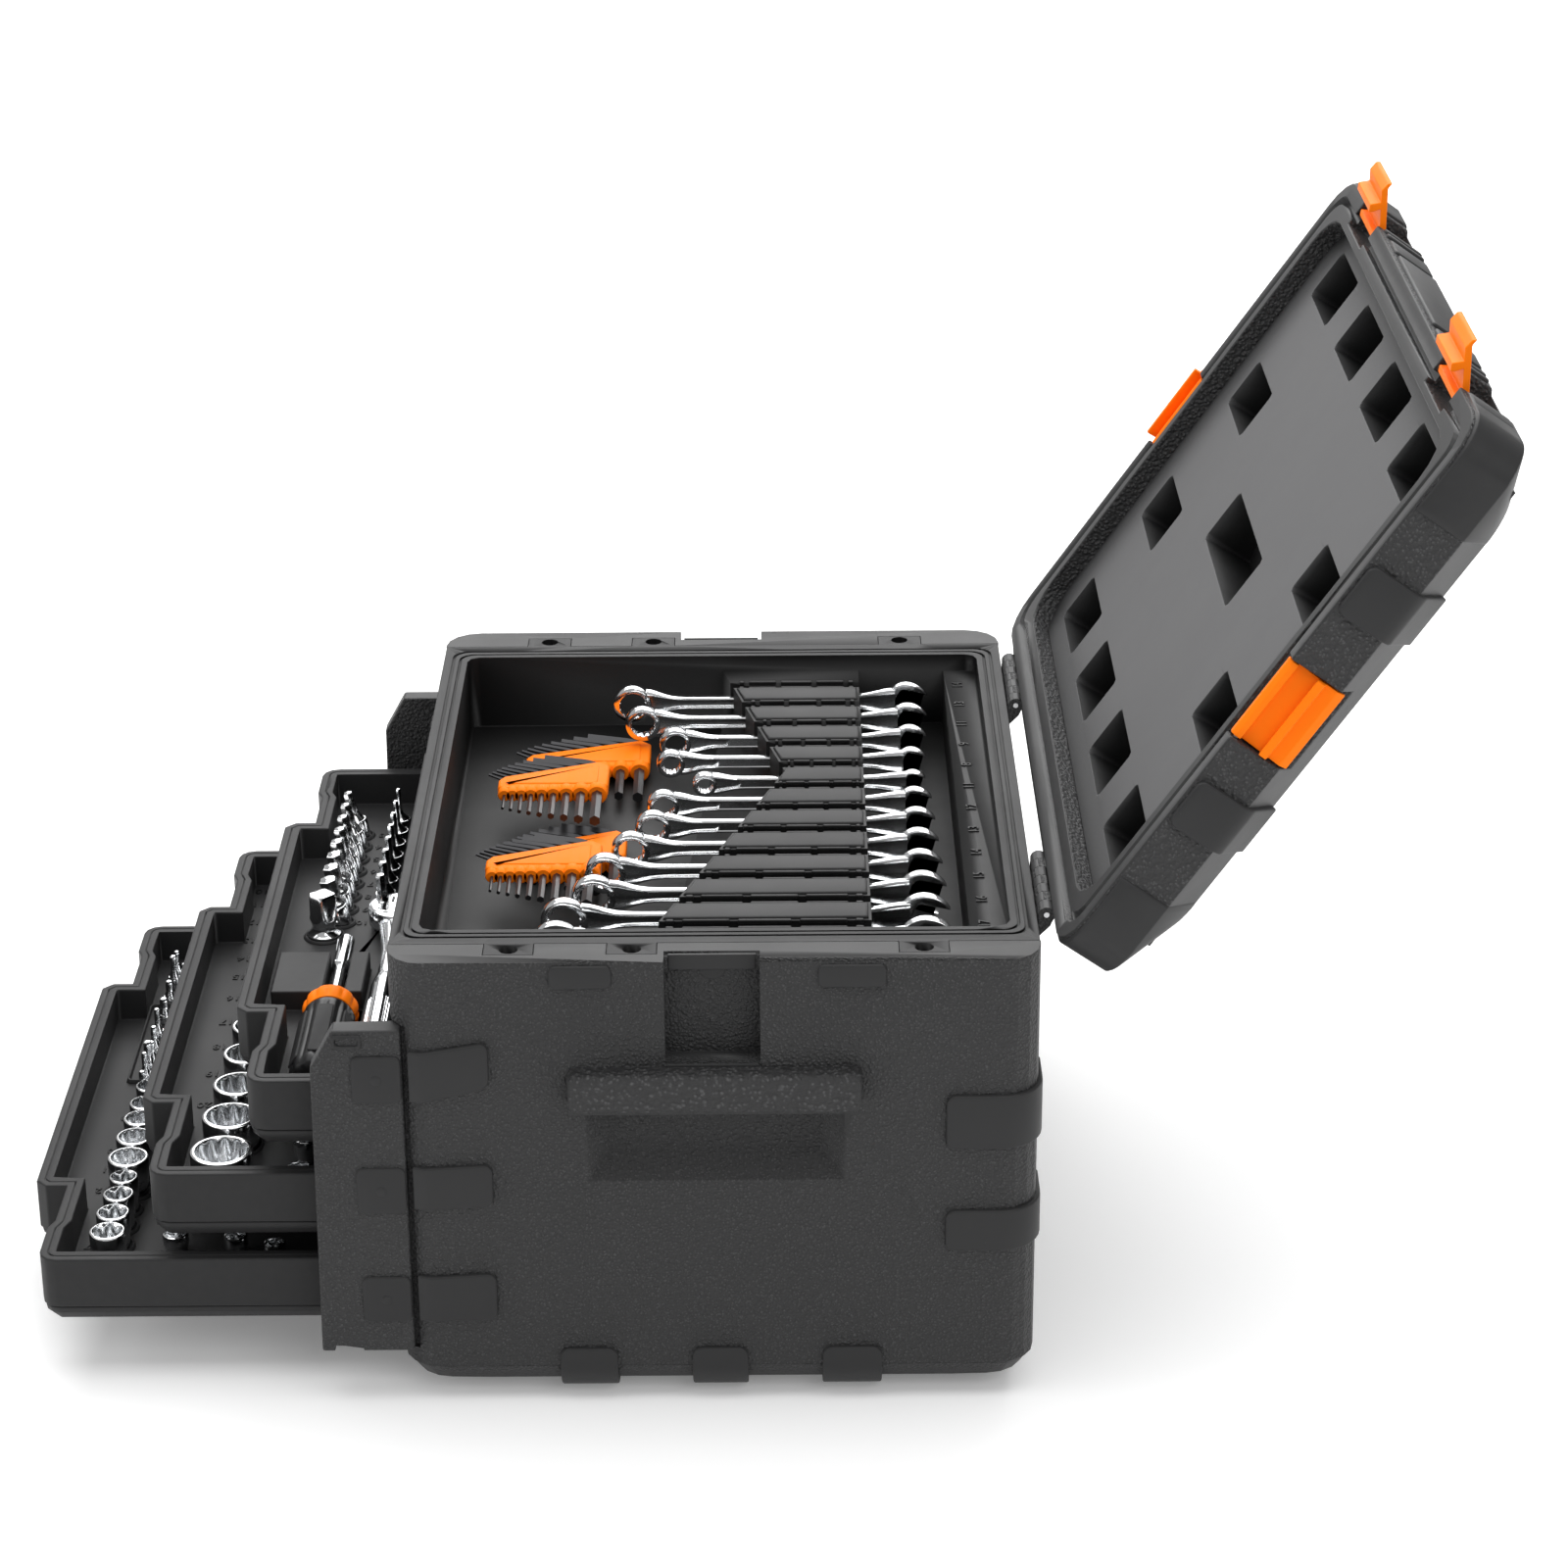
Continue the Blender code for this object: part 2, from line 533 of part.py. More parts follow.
def lid_knuckles(centre):
    """The lid's hinge knuckles, between the case's."""
    pitch = HINGE_LENGTH / KNUCKLES
    bodies = []
    for i in range(1, KNUCKLES, 2):
        low = centre - HINGE_LENGTH / 2 + i * pitch + GAP / 2
        high = low + pitch - GAP
        foot = [(LID_BACK_Y - 1, 0.6), (0, 0), (3.5, 2), (2, 7), (LID_BACK_Y - 1, 13)]
        bodies.append(prism("x", foot, low, high))
        bodies.append(rod("x", (0, 0), KNUCKLE_R, low, high))
    return bodies


def front_latch_place(side):
    """Pivot of a front latch in the closed-lid frame."""
    return side * FRONT_CATCH_X, LID_BACK_Y - LID_LENGTH + 5.0, LID_RIM_Z + LATCH_UP


def side_latch_place(side):
    """Pivot of a side latch in the closed-lid frame."""
    return side * LATCH_OUT, SIDE_CATCH_Y - HINGE_Y, LID_RIM_Z + LATCH_UP


def lid_shell(axis):
    """Lid: straight rim wall, sloped shoulder, flat top, latch recesses and knuckles."""
    body = stack([lid_level(0, 0), lid_level(LID_STRAIGHT, 0), lid_level(LID_H, LID_SLOPE)])
    hollow = stack([lid_level(-1, 21), lid_level(LID_STRAIGHT, 21), lid_level(LID_H - 4, 36)])
    tools = [hollow]
    half = CATCH_HALF + 0.5
    for side in (-1, 1):
        x, y, z = front_latch_place(side)
        tools.append(block((x - half, x + half), (y - 10, y + 11), (LID_RIM_Z - 1, LID_RIM_Z + 33)))
        tools.append(rod("x", (y, z), PIN_R + GAP, x - half - 2.5, x + half + 2.5))
        x, y, z = side_latch_place(side)
        tools.append(block(sorted((side * (CASE_X - 13), side * (CASE_X + 4))), (y - half, y + half),
                           (LID_RIM_Z - 1, LID_RIM_Z + 41)))
        tools.append(rod("y", (x, z), PIN_R + GAP, y - half - 2.5, y + half + 2.5))
    body = cut(body, *tools)
    body = join(body, *lid_knuckles(HINGE_X), *lid_knuckles(-HINGE_X))
    bores = [
        rod("x", (0, 0), PIN_R + GAP, side * HINGE_X - 40, side * HINGE_X + 40) for side in (-1, 1)
    ]
    finish("lid_shell", cut(body, *bores), BLACK, parent=axis)


POCKETS = (
    [(x, s, 61, 28) for s in (50.0, 292.5) for x in (-154.0, -51.5, 51.5, 154.0)]
    + [(x, s, 61, 28) for s in (128.0, 213.0) for x in (-154.0, 154.0)]
    + [(0.0, 170.0, 106, 30)]
)


def lid_liner(axis):
    """Inner sheet of the lid with its moulded pockets."""
    top = LID_RIM_Z + LINER_DEPTH
    _, outline = lid_level(0, 21 + GAP)
    body = prism("z", outline, top, top + 3)
    cups, hollows = [], []
    for x, s, width, depth in POCKETS:
        y = LID_BACK_Y - s
        spans = (x - width / 2, x + width / 2), (y - depth / 2, y + depth / 2)
        cups.append(block((spans[0][0] - 2, spans[0][1] + 2), (spans[1][0] - 2, spans[1][1] + 2),
                          (top + 1, top + 24)))
        hollows.append(block(*spans, (top - 1, top + 22)))
    finish("lid_liner", cut(join(body, *cups), *hollows), GREY_BLACK, parent=axis)


def latch_profile():
    """Section of a latch about its pivot: (outward, down) with the hook pointing inward."""
    plate = [(4.2, -1.5), (4.2, LATCH_L - 3), (6.5, LATCH_L), (4.0, LATCH_L), (0.6, LATCH_L - 4), (0.6, 19.2)]
    hook = [(-5.5, 18.2), (-6.0, 13.9), (-3.5, 13.9), (0.6, 15.2), (0.6, 2.0)]
    crown = [(-3.2, 2.4), (-3.9, -1.0), (-2.4, -3.4), (1.0, -4.0)]
    return plate + hook + crown


def latch(name, lid, place_at, outward, rest_angle):
    """Latch on its own pivot: an empty on the pin carries it, turned to the rest position."""
    pivot = bpy.data.objects.new(f"{name}_axis", None)
    pivot.parent = lid
    pivot.location = Vector(place_at) * MM
    pivot.rotation_euler = (math.radians(rest_angle), 0, 0)
    bpy.context.scene.collection.objects.link(pivot)
    if outward == "y":
        outline = [(-u, -w) for u, w in latch_profile()]
        body = prism("x", outline, -LATCH_W / 2, LATCH_W / 2)
        bore = rod("x", (0, 0), PIN_R + GAP, -30, 30)
    else:
        sign = 1 if outward == "+x" else -1
        outline = [(sign * u, -w) for u, w in latch_profile()]
        body = prism("y", outline, -LATCH_W / 2, LATCH_W / 2)
        bore = rod("y", (0, 0), PIN_R + GAP, -30, 30)
        pivot.rotation_euler = (0, math.radians(rest_angle), 0)
    finish(name, cut(body, bore), ORANGE, parent=pivot)


def latch_pin(name, lid, place_at, along):
    """Steel pin through a latch, held in the walls of its recess."""
    x, y, z = place_at
    reach = CATCH_HALF + 2.5
    if along == "x":
        pin = rod("x", (y, z), PIN_R, x - reach, x + reach)
    else:
        pin = rod("y", (x, z), PIN_R, y - reach, y + reach)
    finish(name, pin, STEEL, smooth=True, parent=lid)


def lid():
    """The lid with everything it carries."""
    axis = lid_axis()
    lid_shell(axis)
    lid_liner(axis)
    for side, word in ((-1, "left"), (1, "right")):
        pin = rod("x", (0, 0), PIN_R, side * HINGE_X - 35.5, side * HINGE_X + 35.5)
        finish(f"lid_hinge_pin_{word}", pin, STEEL, smooth=True, parent=axis)
        latch(f"latch_front_{word}", axis, front_latch_place(side), "y", -55)
        latch_pin(f"latch_pin_front_{word}", axis, front_latch_place(side), "x")
        latch_pin(f"latch_pin_side_{word}", axis, side_latch_place(side), "y")
    latch("latch_side_left", axis, side_latch_place(-1), "-x", 90)
    latch("latch_side_right", axis, side_latch_place(1), "+x", -166)


def main():
    """Build the case, its trays and drawers, the tools and the lid."""
    clear_scene()
    base_tub()
    case_shell()
    top_tray()
    for side, word in ((-1, "left"), (1, "right")):
        runner(side, f"runner_{word}")
        corner_flap(side, f"corner_flap_{word}")
        flap_pin(side, f"flap_pin_{word}")
        for number, y in enumerate(TAB_Y, 1):
            tray_screw(side * TAB_X, y, f"tray_screw_{word}_{number}")
    for index in range(len(WRENCH_SIZE)):
        wrench(index)
    for number, spot in enumerate(KEY_HOLDERS, 1):
        key_holder(f"key_holder_{number}", *spot)
    top_drawer()
    middle_drawer()
    bottom_drawer()
    screwdriver()
    ratchet()
    lid()


main()
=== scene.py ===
"""Finished looks of a socket wrench set in its case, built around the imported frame.

Sizes in the classes are millimetres, in the frame's own axes: +Z up, -Y towards the drawers,
+X and -X the two carrying sides. Shell.mesh turns them into metres. Every new piece rides on
the body of the node it belongs to, so that it moves with it.
"""

import json
import logging
import math
from collections.abc import Callable, Iterable, Sequence
from dataclasses import dataclass, field
from enum import Enum

import bmesh
import bpy
import numpy as np
from mathutils import Matrix, Vector

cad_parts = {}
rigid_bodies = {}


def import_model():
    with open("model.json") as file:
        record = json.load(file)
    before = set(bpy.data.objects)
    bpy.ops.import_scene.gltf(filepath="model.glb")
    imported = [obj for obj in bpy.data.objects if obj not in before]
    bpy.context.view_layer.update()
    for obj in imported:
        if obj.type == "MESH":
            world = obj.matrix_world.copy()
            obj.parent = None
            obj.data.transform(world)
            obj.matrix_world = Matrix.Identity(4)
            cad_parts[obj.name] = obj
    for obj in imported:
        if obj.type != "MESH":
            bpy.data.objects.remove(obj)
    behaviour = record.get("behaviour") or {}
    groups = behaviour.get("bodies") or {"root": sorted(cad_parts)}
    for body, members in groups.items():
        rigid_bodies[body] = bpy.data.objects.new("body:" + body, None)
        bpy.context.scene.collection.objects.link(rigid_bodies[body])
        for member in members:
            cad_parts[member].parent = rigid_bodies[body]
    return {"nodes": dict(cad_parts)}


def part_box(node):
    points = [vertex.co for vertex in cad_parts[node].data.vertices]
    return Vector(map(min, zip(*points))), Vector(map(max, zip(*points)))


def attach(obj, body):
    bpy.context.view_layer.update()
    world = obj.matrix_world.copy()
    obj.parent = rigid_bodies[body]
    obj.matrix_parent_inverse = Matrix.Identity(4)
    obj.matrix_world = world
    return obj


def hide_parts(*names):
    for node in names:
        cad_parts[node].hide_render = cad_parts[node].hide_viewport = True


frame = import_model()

LOG = logging.getLogger("wrench_case")
MM = 0.001
SIDES = (("left", -1.0), ("right", 1.0))
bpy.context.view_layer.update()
Array = np.ndarray
SHARP = math.radians(33)
ROUNDED_SHARP, PLAIN_SHARP = math.radians(50), math.radians(25)


# ---------------------------------------------------------------- places and shells


def span(node: str) -> tuple[Array, Array]:
    """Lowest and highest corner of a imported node, in millimetres.

    Args:
        node: name of the node.

    Returns:
        Two arrays of three numbers.
    """
    low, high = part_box(node)
    return np.array(low) / MM, np.array(high) / MM


@dataclass(frozen=True)
class Place:
    """A local frame: its origin and where its own x, y and z point."""

    origin: Sequence[float] = (0.0, 0.0, 0.0)
    x: Sequence[float] = (1.0, 0.0, 0.0)
    y: Sequence[float] = (0.0, 1.0, 0.0)
    z: Sequence[float] = (0.0, 0.0, 1.0)

    def __call__(self, points: Array) -> Array:
        """World points: origin + a x + b y + c z for each local point (a, b, c)."""
        axes = np.array([self.x, self.y, self.z], float)
        return np.asarray(points, float) @ axes + np.array(self.origin, float)


def upright(x: float, y: float, z: float) -> Place:
    """A place with world axes at a point."""
    return Place((x, y, z))


def lying(x: float, y: float, z: float, turn: float = 1.0) -> Place:
    """A place whose own z runs along world X, or against it when turn is -1."""
    return Place((x, y, z), (0, turn, 0), (0, 0, 1), (turn, 0, 0))


def facing(side: float, x: float, y: float, z: float) -> Place:
    """A place on a carrying side: own x along world Y, own y up, own z outward."""
    return Place((x, y, z), (0, side, 0), (0, 0, 1), (side, 0, 0))


@dataclass
class Shell:
    """One closed surface: points in millimetres and the faces between them."""

    points: Array
    faces: list

    def placed(self, place: Place) -> "Shell":
        """The same surface carried to a place."""
        return Shell(place(self.points), self.faces)

    def mirrored(self, axis: int = 0) -> "Shell":
        """The same surface mirrored in one axis."""
        factor = np.ones(3)
        factor[axis] = -1.0
        return Shell(self.points * factor, self.faces)


def merged(shells: Iterable[Shell]) -> Shell:
    """Several closed surfaces as one, with the faces numbered on."""
    parts = list(shells)
    starts = np.cumsum([0] + [len(part.points) for part in parts])
    faces = [[start + corner for corner in face] for part, start in zip(parts, starts) for face in part.faces]
    return Shell(np.concatenate([part.points for part in parts]), faces)


def sided(shells: Iterable[Shell], sign: float) -> list[Shell]:
    """Shells of the right side, or their mirror images when sign is negative."""
    return [shell if sign > 0 else shell.mirrored() for shell in shells]


def loft(rings: Array, closed: bool = False) -> Shell:
    """Skin over rings of points; every ring wraps round.

    Args:
        rings: array of shape (rows, columns, 3).
        closed: joins the last ring to the first, otherwise both ends are capped.

    Returns:
        The closed shell.
    """
    rows, columns = rings.shape[:2]
    index = np.arange(rows * columns).reshape(rows, columns)
    low = index if closed else index[:-1]
    high = np.roll(index, -1, 0) if closed else index[1:]
    corners = [low, np.roll(low, -1, 1), np.roll(high, -1, 1), high]
    faces = np.stack(corners, -1).reshape(-1, 4).tolist()
    if not closed:
        faces += [index[0, ::-1].tolist(), index[-1].tolist()]
    return Shell(rings.reshape(-1, 3), faces)


def rounded_rect(half_x: float, half_y: float, radius: float, steps: int = 5) -> Array:
    """Rectangle outline about the origin whose corners are quarter circles, anticlockwise.

    Args:
        half_x: half length in x.
        half_y: half length in y.
        radius: corner radius.
        steps: points of each quarter, less one.

    Returns:
        Array of shape (4 * (steps + 1), 2).
    """
    quarter = np.repeat(np.arange(4), steps + 1)
    angle = (quarter + np.tile(np.linspace(0, 1, steps + 1), 4)) * math.pi / 2
    sign_x = np.array([1, -1, -1, 1])[quarter]
    sign_y = np.array([1, 1, -1, -1])[quarter]
    centre = np.column_stack([sign_x * (half_x - radius), sign_y * (half_y - radius)])
    return centre + radius * np.column_stack([np.cos(angle), np.sin(angle)])


def inset(outline: Array, depth: float) -> Array:
    """Outline moved inward: a corner goes along its bisector by depth / cos(half its turn).

    Args:
        outline: anticlockwise points, shape (n, 2).
        depth: how far every side moves inward.

    Returns:
        The moved outline.
    """
    def inward(edge: Array) -> Array:
        """Unit normal to the left of each edge."""
        return np.column_stack([-edge[:, 1], edge[:, 0]]) / np.linalg.norm(edge, axis=1, keepdims=True)

    before = inward(outline - np.roll(outline, 1, 0))
    after = inward(np.roll(outline, -1, 0) - outline)
    middle = before + after
    return outline + depth * middle / (middle * before).sum(1, keepdims=True)


def pad(outline: Array, low: float, high: float, edge: float, both: bool = False) -> Shell:
    """Plate over an outline whose rim is a quarter round: inset e(1 - cos t), height e sin t.

    Args:
        outline: anticlockwise outline in x and y.
        low: height of its underside.
        high: height of its top.
        edge: radius of the rounded edge.
        both: rounds the lower edge too.

    Returns:
        The closed plate, in local x, y and z.
    """
    turn = np.linspace(0, math.pi / 2, 4)
    insets = edge * (1 - np.cos(turn))
    heights = high - edge + edge * np.sin(turn)
    if both:
        insets = np.concatenate([insets[::-1], insets])
        heights = np.concatenate([low + high - heights[::-1], heights])
    else:
        insets, heights = np.append(0.0, insets), np.append(low, heights)
    rings = [np.column_stack([inset(outline, i), np.full(len(outline), h)]) for i, h in zip(insets, heights)]
    return loft(np.stack(rings))


def slab(size: Sequence[float], corner: float, edge: float, both: bool = False) -> Shell:
    """Rounded plate: size is (half x, half y, thickness), standing on its local origin."""
    return pad(rounded_rect(size[0], size[1], corner), 0.0, size[2], edge, both)


class Star(Enum):
    """Shapes of a driver's cross-section, as a factor on its radius at each angle."""

    ROUND = "round"
    HEX = "hex"
    TWELVE = "twelve points"
    LOBES = "six lobes"
    SQUARE = "square"
    KNURL = "fine teeth"
    SCALLOP = "scallops"

    def factor(self, angle: Array) -> Array:
        """Radius factor: a regular polygon is 1 / cos of the angle from the nearest side's middle."""
        def polygon(sides: int, start: float = 0.0) -> Array:
            """Factor of a regular polygon."""
            step = 2 * math.pi / sides
            return 1 / np.cos((angle + start) % step - step / 2)

        return {
            Star.ROUND: lambda: np.ones_like(angle),
            Star.HEX: lambda: polygon(6),
            Star.TWELVE: lambda: np.maximum(polygon(6), polygon(6, math.pi / 6)),
            Star.LOBES: lambda: 1 + 0.11 * np.cos(6 * angle),
            Star.SQUARE: lambda: np.minimum(polygon(4), 1.28),
            Star.KNURL: lambda: 1 + 0.025 * np.sign(np.cos(30 * angle)),
            Star.SCALLOP: lambda: 1 - 0.07 * np.abs(np.cos(6 * angle)) ** 6,
        }[self]()


def turned(rows: Sequence[Sequence[float]], star: Star = Star.ROUND, sides: int = 48,
           closed: bool = False) -> Shell:
    """Surface of revolution: a row (r, h, share) is the ring r (1 + share (f(a) - 1)), at height h.

    Args:
        rows: radius, height and optionally how much of the star's factor f the ring takes.
        star: the cross-section that the marked rows take.
        sides: points round each ring.
        closed: joins the last row to the first, as for a ring with a bore.

    Returns:
        The closed shell about local z.
    """
    table = np.array([tuple(row) + (0.0,) * (3 - len(row)) for row in rows], float)
    angle = np.linspace(0, 2 * math.pi, sides, endpoint=False)
    radius = table[:, :1] * (1 + table[:, 2:] * (star.factor(angle) - 1))
    height = np.broadcast_to(table[:, 1:2], radius.shape)
    return loft(np.stack([radius * np.cos(angle), radius * np.sin(angle), height], -1), closed)


def swept(section: Array, path: Array, up: Sequence[float], scale: Array | None = None) -> Shell:
    """A section carried along a path: point = path + a side + b up', with side = tangent x up.

    Args:
        section: outline (a, b) of shape (m, 2).
        path: points of shape (n, 3).
        up: direction the section's b starts from.
        scale: optional factors of shape (n, 2) on a and b at each path point.

    Returns:
        The closed bar.
    """
    tangent = np.gradient(path, axis=0)
    tangent /= np.linalg.norm(tangent, axis=1, keepdims=True)
    side = np.cross(tangent, np.array(up, float))
    side /= np.linalg.norm(side, axis=1, keepdims=True)
    lift = np.cross(side, tangent)
    factor = np.ones((len(path), 2)) if scale is None else scale
    local = section[None, :, :] * factor[:, None, :]
    return loft(path[:, None, :] + local[..., :1] * side[:, None] + local[..., 1:] * lift[:, None])


def polygon(radius: float, sides: int) -> Array:
    """Regular outline with a flat on top."""
    angle = (np.arange(sides) + 0.5) * 2 * math.pi / sides
    return radius * np.column_stack([np.cos(angle), np.sin(angle)])


def rounded_path(corners: Array, radius: float, steps: int = 6) -> Array:
    """Path through corners, each corner replaced by the parabola between points radius before and after it.

    Args:
        corners: points of shape (n, 3).
        radius: distance along each side where the bend starts.
        steps: points in each bend.

    Returns:
        The smoothed path.
    """
    share = np.linspace(0, 1, steps)[:, None]
    parts = [corners[:1]]
    for before, at, after in zip(corners, corners[1:], corners[2:]):
        start = at + radius * (before - at) / np.linalg.norm(before - at)
        end = at + radius * (after - at) / np.linalg.norm(after - at)
        parts.append((1 - share) ** 2 * start + 2 * share * (1 - share) * at + share ** 2 * end)
    return np.concatenate(parts + [corners[-1:]])


@dataclass
class Track:
    """A line on a wall that a strap follows, with the wall's outward direction along it."""

    points: Array
    normals: Array

    @property
    def length(self) -> float:
        """Length along the line."""
        return float(self.steps()[-1])

    def steps(self) -> Array:
        """Distance of each point from the first."""
        return np.append(0, np.cumsum(np.linalg.norm(np.diff(self.points, axis=0), axis=1)))

    def at(self, distance: Array) -> tuple[Array, Array]:
        """Points and unit normals at distances along the line, straight between its points."""
        steps = self.steps()
        columns = [np.interp(distance, steps, column) for column in np.hstack([self.points, self.normals]).T]
        found = np.stack(columns, -1)
        normals = found[:, 3:] / np.linalg.norm(found[:, 3:], axis=1, keepdims=True)
        return found[:, :3], normals


def strap(track: Track, across: Sequence[float], low: Callable, high: Callable, height: float = 2.4,
          edge: float = 1.2, corner: float = 5.0, ends: tuple[bool, bool] = (True, False)) -> Shell:
    """Raised band on a wall: station s is drawn out between low(s) and high(s) across the track.

    Both long edges are quarter rounds of the given radius, and a rounded end closes like a
    corner of that radius: its reach at s is corner - sqrt(corner^2 - (corner - s)^2).

    Args:
        track: the line it follows, and its outward direction.
        across: direction in which low and high are measured.
        low: lower edge at each distance along the track.
        high: upper edge at each distance.
        height: how proud it stands.
        edge: radius of its rounded edges.
        corner: radius of its rounded ends' corners.
        ends: whether the first and the last end are rounded.

    Returns:
        The closed band.
    """
    rise = np.array([0.0, 0.1, 0.35, 0.7, 1.0])
    near = np.unique(np.concatenate([rise * edge, np.linspace(edge, corner, 5)]))
    length = track.length
    middle = np.linspace(corner, length - corner, max(6, int(length / 4)))
    first, last = near if ends[0] else [0.0], length - near if ends[1] else [length]
    stations = np.unique(np.concatenate([first, middle, last]))
    gap = np.full(len(stations), np.inf)
    gap = np.minimum(gap, stations) if ends[0] else gap
    gap = np.minimum(gap, length - stations) if ends[1] else gap
    pull = corner - np.sqrt(np.maximum(corner ** 2 - np.maximum(corner - gap, 0) ** 2, 0))
    top = height - edge + np.sqrt(np.maximum(edge ** 2 - np.maximum(edge - gap, 0) ** 2, 0))
    turn = np.linspace(0, math.pi / 2, 4)
    drop, rims = edge * (1 - np.cos(turn)), edge * (np.sin(turn) - 1)
    from_low = np.concatenate([[0.0], drop])
    rim = np.concatenate([[-np.inf], rims])
    points, normals = track.at(stations)
    lows, highs = low(stations) + pull, high(stations) - pull
    reach = np.concatenate([lows[:, None] + from_low, (highs[:, None] - from_low)[:, ::-1]], axis=1)
    proud = np.maximum(top[:, None] + np.concatenate([rim, rim[::-1]]), -0.8)
    rings = points[:, None] + reach[..., None] * np.array(across, float) + proud[..., None] * normals[:, None]
    return loft(rings)


def flat(value: float) -> Callable:
    """An edge that keeps one place all along a track."""
    return lambda s: np.full_like(s, value)


def line(start: float, end: float, length: float) -> Callable:
    """An edge that runs straight from start to end over a length."""
    return lambda s: np.interp(s, [0, length], [start, end])


def relief(x: Array, y: Array, height: Callable, low: float) -> Shell:
    """Moulded sheet: z = height(x, y) over a grid of lines, closed by a flat underside at low.

    Args:
        x: places of the grid lines across.
        y: places of the grid lines along.
        height: function of two arrays that gives the surface's height.
        low: height of the underside.

    Returns:
        The closed sheet.
    """
    grid_x, grid_y = np.meshgrid(x, y)
    top = np.stack([grid_x, grid_y, height(grid_x, grid_y)], -1)
    rows, columns = grid_x.shape
    index = np.arange(rows * columns).reshape(rows, columns)
    corners = [index[:-1, :-1], index[:-1, 1:], index[1:, 1:], index[1:, :-1]]
    faces = np.stack(corners, -1).reshape(-1, 4).tolist()
    rim = np.concatenate([index[0, :-1], index[:-1, -1], index[-1, :0:-1], index[:0:-1, 0]])
    under = top.reshape(-1, 3)[rim] * [1, 1, 0] + [0, 0, low]
    below = np.arange(len(rim)) + rows * columns
    skirt = np.stack([rim, below, np.roll(below, -1), np.roll(rim, -1)], -1)
    faces += skirt.tolist() + [below[::-1].tolist()]
    return Shell(np.concatenate([top.reshape(-1, 3), under]), faces)


def box_distance(x: Array, y: Array, centre: Sequence[float], half: Sequence[float], corner: float) -> Array:
    """Signed distance to a rounded rectangle: negative inside it."""
    over_x = np.abs(x - centre[0]) - half[0] + corner
    over_y = np.abs(y - centre[1]) - half[1] + corner
    outside = np.hypot(np.maximum(over_x, 0), np.maximum(over_y, 0))
    return outside + np.minimum(np.maximum(over_x, over_y), 0) - corner


def ramp(distance: Array, width: float) -> Array:
    """1 inside, 0 outside, with a smooth cubic step across the width."""
    share = np.clip(0.5 - distance / width, 0, 1)
    return share * share * (3 - 2 * share)


def lettering(text: str, size: float, depth: float) -> Shell:
    """Raised numerals, drawn flat about the local origin and given a thickness."""
    curve = bpy.data.curves.new("numeral", "FONT")
    curve.body, curve.size, curve.extrude, curve.offset = text, size, depth / 2, size * 0.012
    curve.align_x, curve.align_y, curve.resolution_u = "CENTER", "CENTER", 3
    holder = bpy.data.objects.new("numeral", curve)
    mesh = bpy.data.meshes.new_from_object(holder)
    points = np.empty(len(mesh.vertices) * 3)
    mesh.vertices.foreach_get("co", points)
    faces = [list(face.vertices) for face in mesh.polygons]
    bpy.data.objects.remove(holder)
    bpy.data.curves.remove(curve)
    bpy.data.meshes.remove(mesh)
    return Shell(points.reshape(-1, 3) + [0, 0, depth / 2], faces)


# ---------------------------------------------------------------- shader groups and finishes


def add_node(tree: bpy.types.NodeTree, kind: str, sockets: dict | None = None, **settings) -> bpy.types.Node:
    """Add a node, set its properties, and fill its sockets with values or links.

    Args:
        tree: the node tree.
        kind: the node's type name.
        sockets: input name or index to a value or an output socket.
        **settings: properties of the node.

    Returns:
        The node.
    """
    made = tree.nodes.new(kind)
    for key, value in settings.items():
        setattr(made, key, value)
    for key, value in (sockets or {}).items():
        if isinstance(value, bpy.types.NodeSocket):
            tree.links.new(value, made.inputs[key])
        else:
            made.inputs[key].default_value = value
    return made


def math_node(tree: bpy.types.NodeTree, operation: str, *values) -> bpy.types.NodeSocket:
    """Output of a Math node."""
    return add_node(tree, "ShaderNodeMath", dict(enumerate(values)), operation=operation).outputs[0]


def noise(tree: bpy.types.NodeTree, vector: bpy.types.NodeSocket, scale: float, detail: float,
          roughness: float = 0.5) -> bpy.types.Node:
    """A noise texture over a vector."""
    return add_node(tree, "ShaderNodeTexNoise",
                    {"Vector": vector, "Scale": scale, "Detail": detail, "Roughness": roughness})


def mapped(tree: bpy.types.NodeTree, value: bpy.types.NodeSocket, start: float, end: float,
           low: float = 0.0, high: float = 1.0) -> bpy.types.NodeSocket:
    """A value carried from start...end to low...high, and held there beyond them."""
    sockets = {"Value": value, "From Min": start, "From Max": end, "To Min": low, "To Max": high}
    return add_node(tree, "ShaderNodeMapRange", sockets).outputs[0]


def vector_node(tree: bpy.types.NodeTree, operation: str, *values) -> bpy.types.Node:
    """A Vector Math node."""
    return add_node(tree, "ShaderNodeVectorMath", dict(enumerate(values)), operation=operation)


def mixed(tree: bpy.types.NodeTree, factor: bpy.types.NodeSocket, first: object,
          second: object) -> bpy.types.NodeSocket:
    """The first colour turned towards the second by a factor; either may be a socket."""
    return add_node(tree, "ShaderNodeMix", {0: factor, 6: first, 7: second}, data_type="RGBA").outputs[2]


def bumped(tree: bpy.types.NodeTree, shader: bpy.types.Node, height: bpy.types.NodeSocket, distance: float,
           strength: float, **more: bpy.types.NodeSocket) -> None:
    """Give a shader a bump of a height, in metres."""
    sockets = {"Height": height, "Distance": distance, "Strength": strength, **more}
    tree.links.new(add_node(tree, "ShaderNodeBump", sockets).outputs[0], shader.inputs["Normal"])


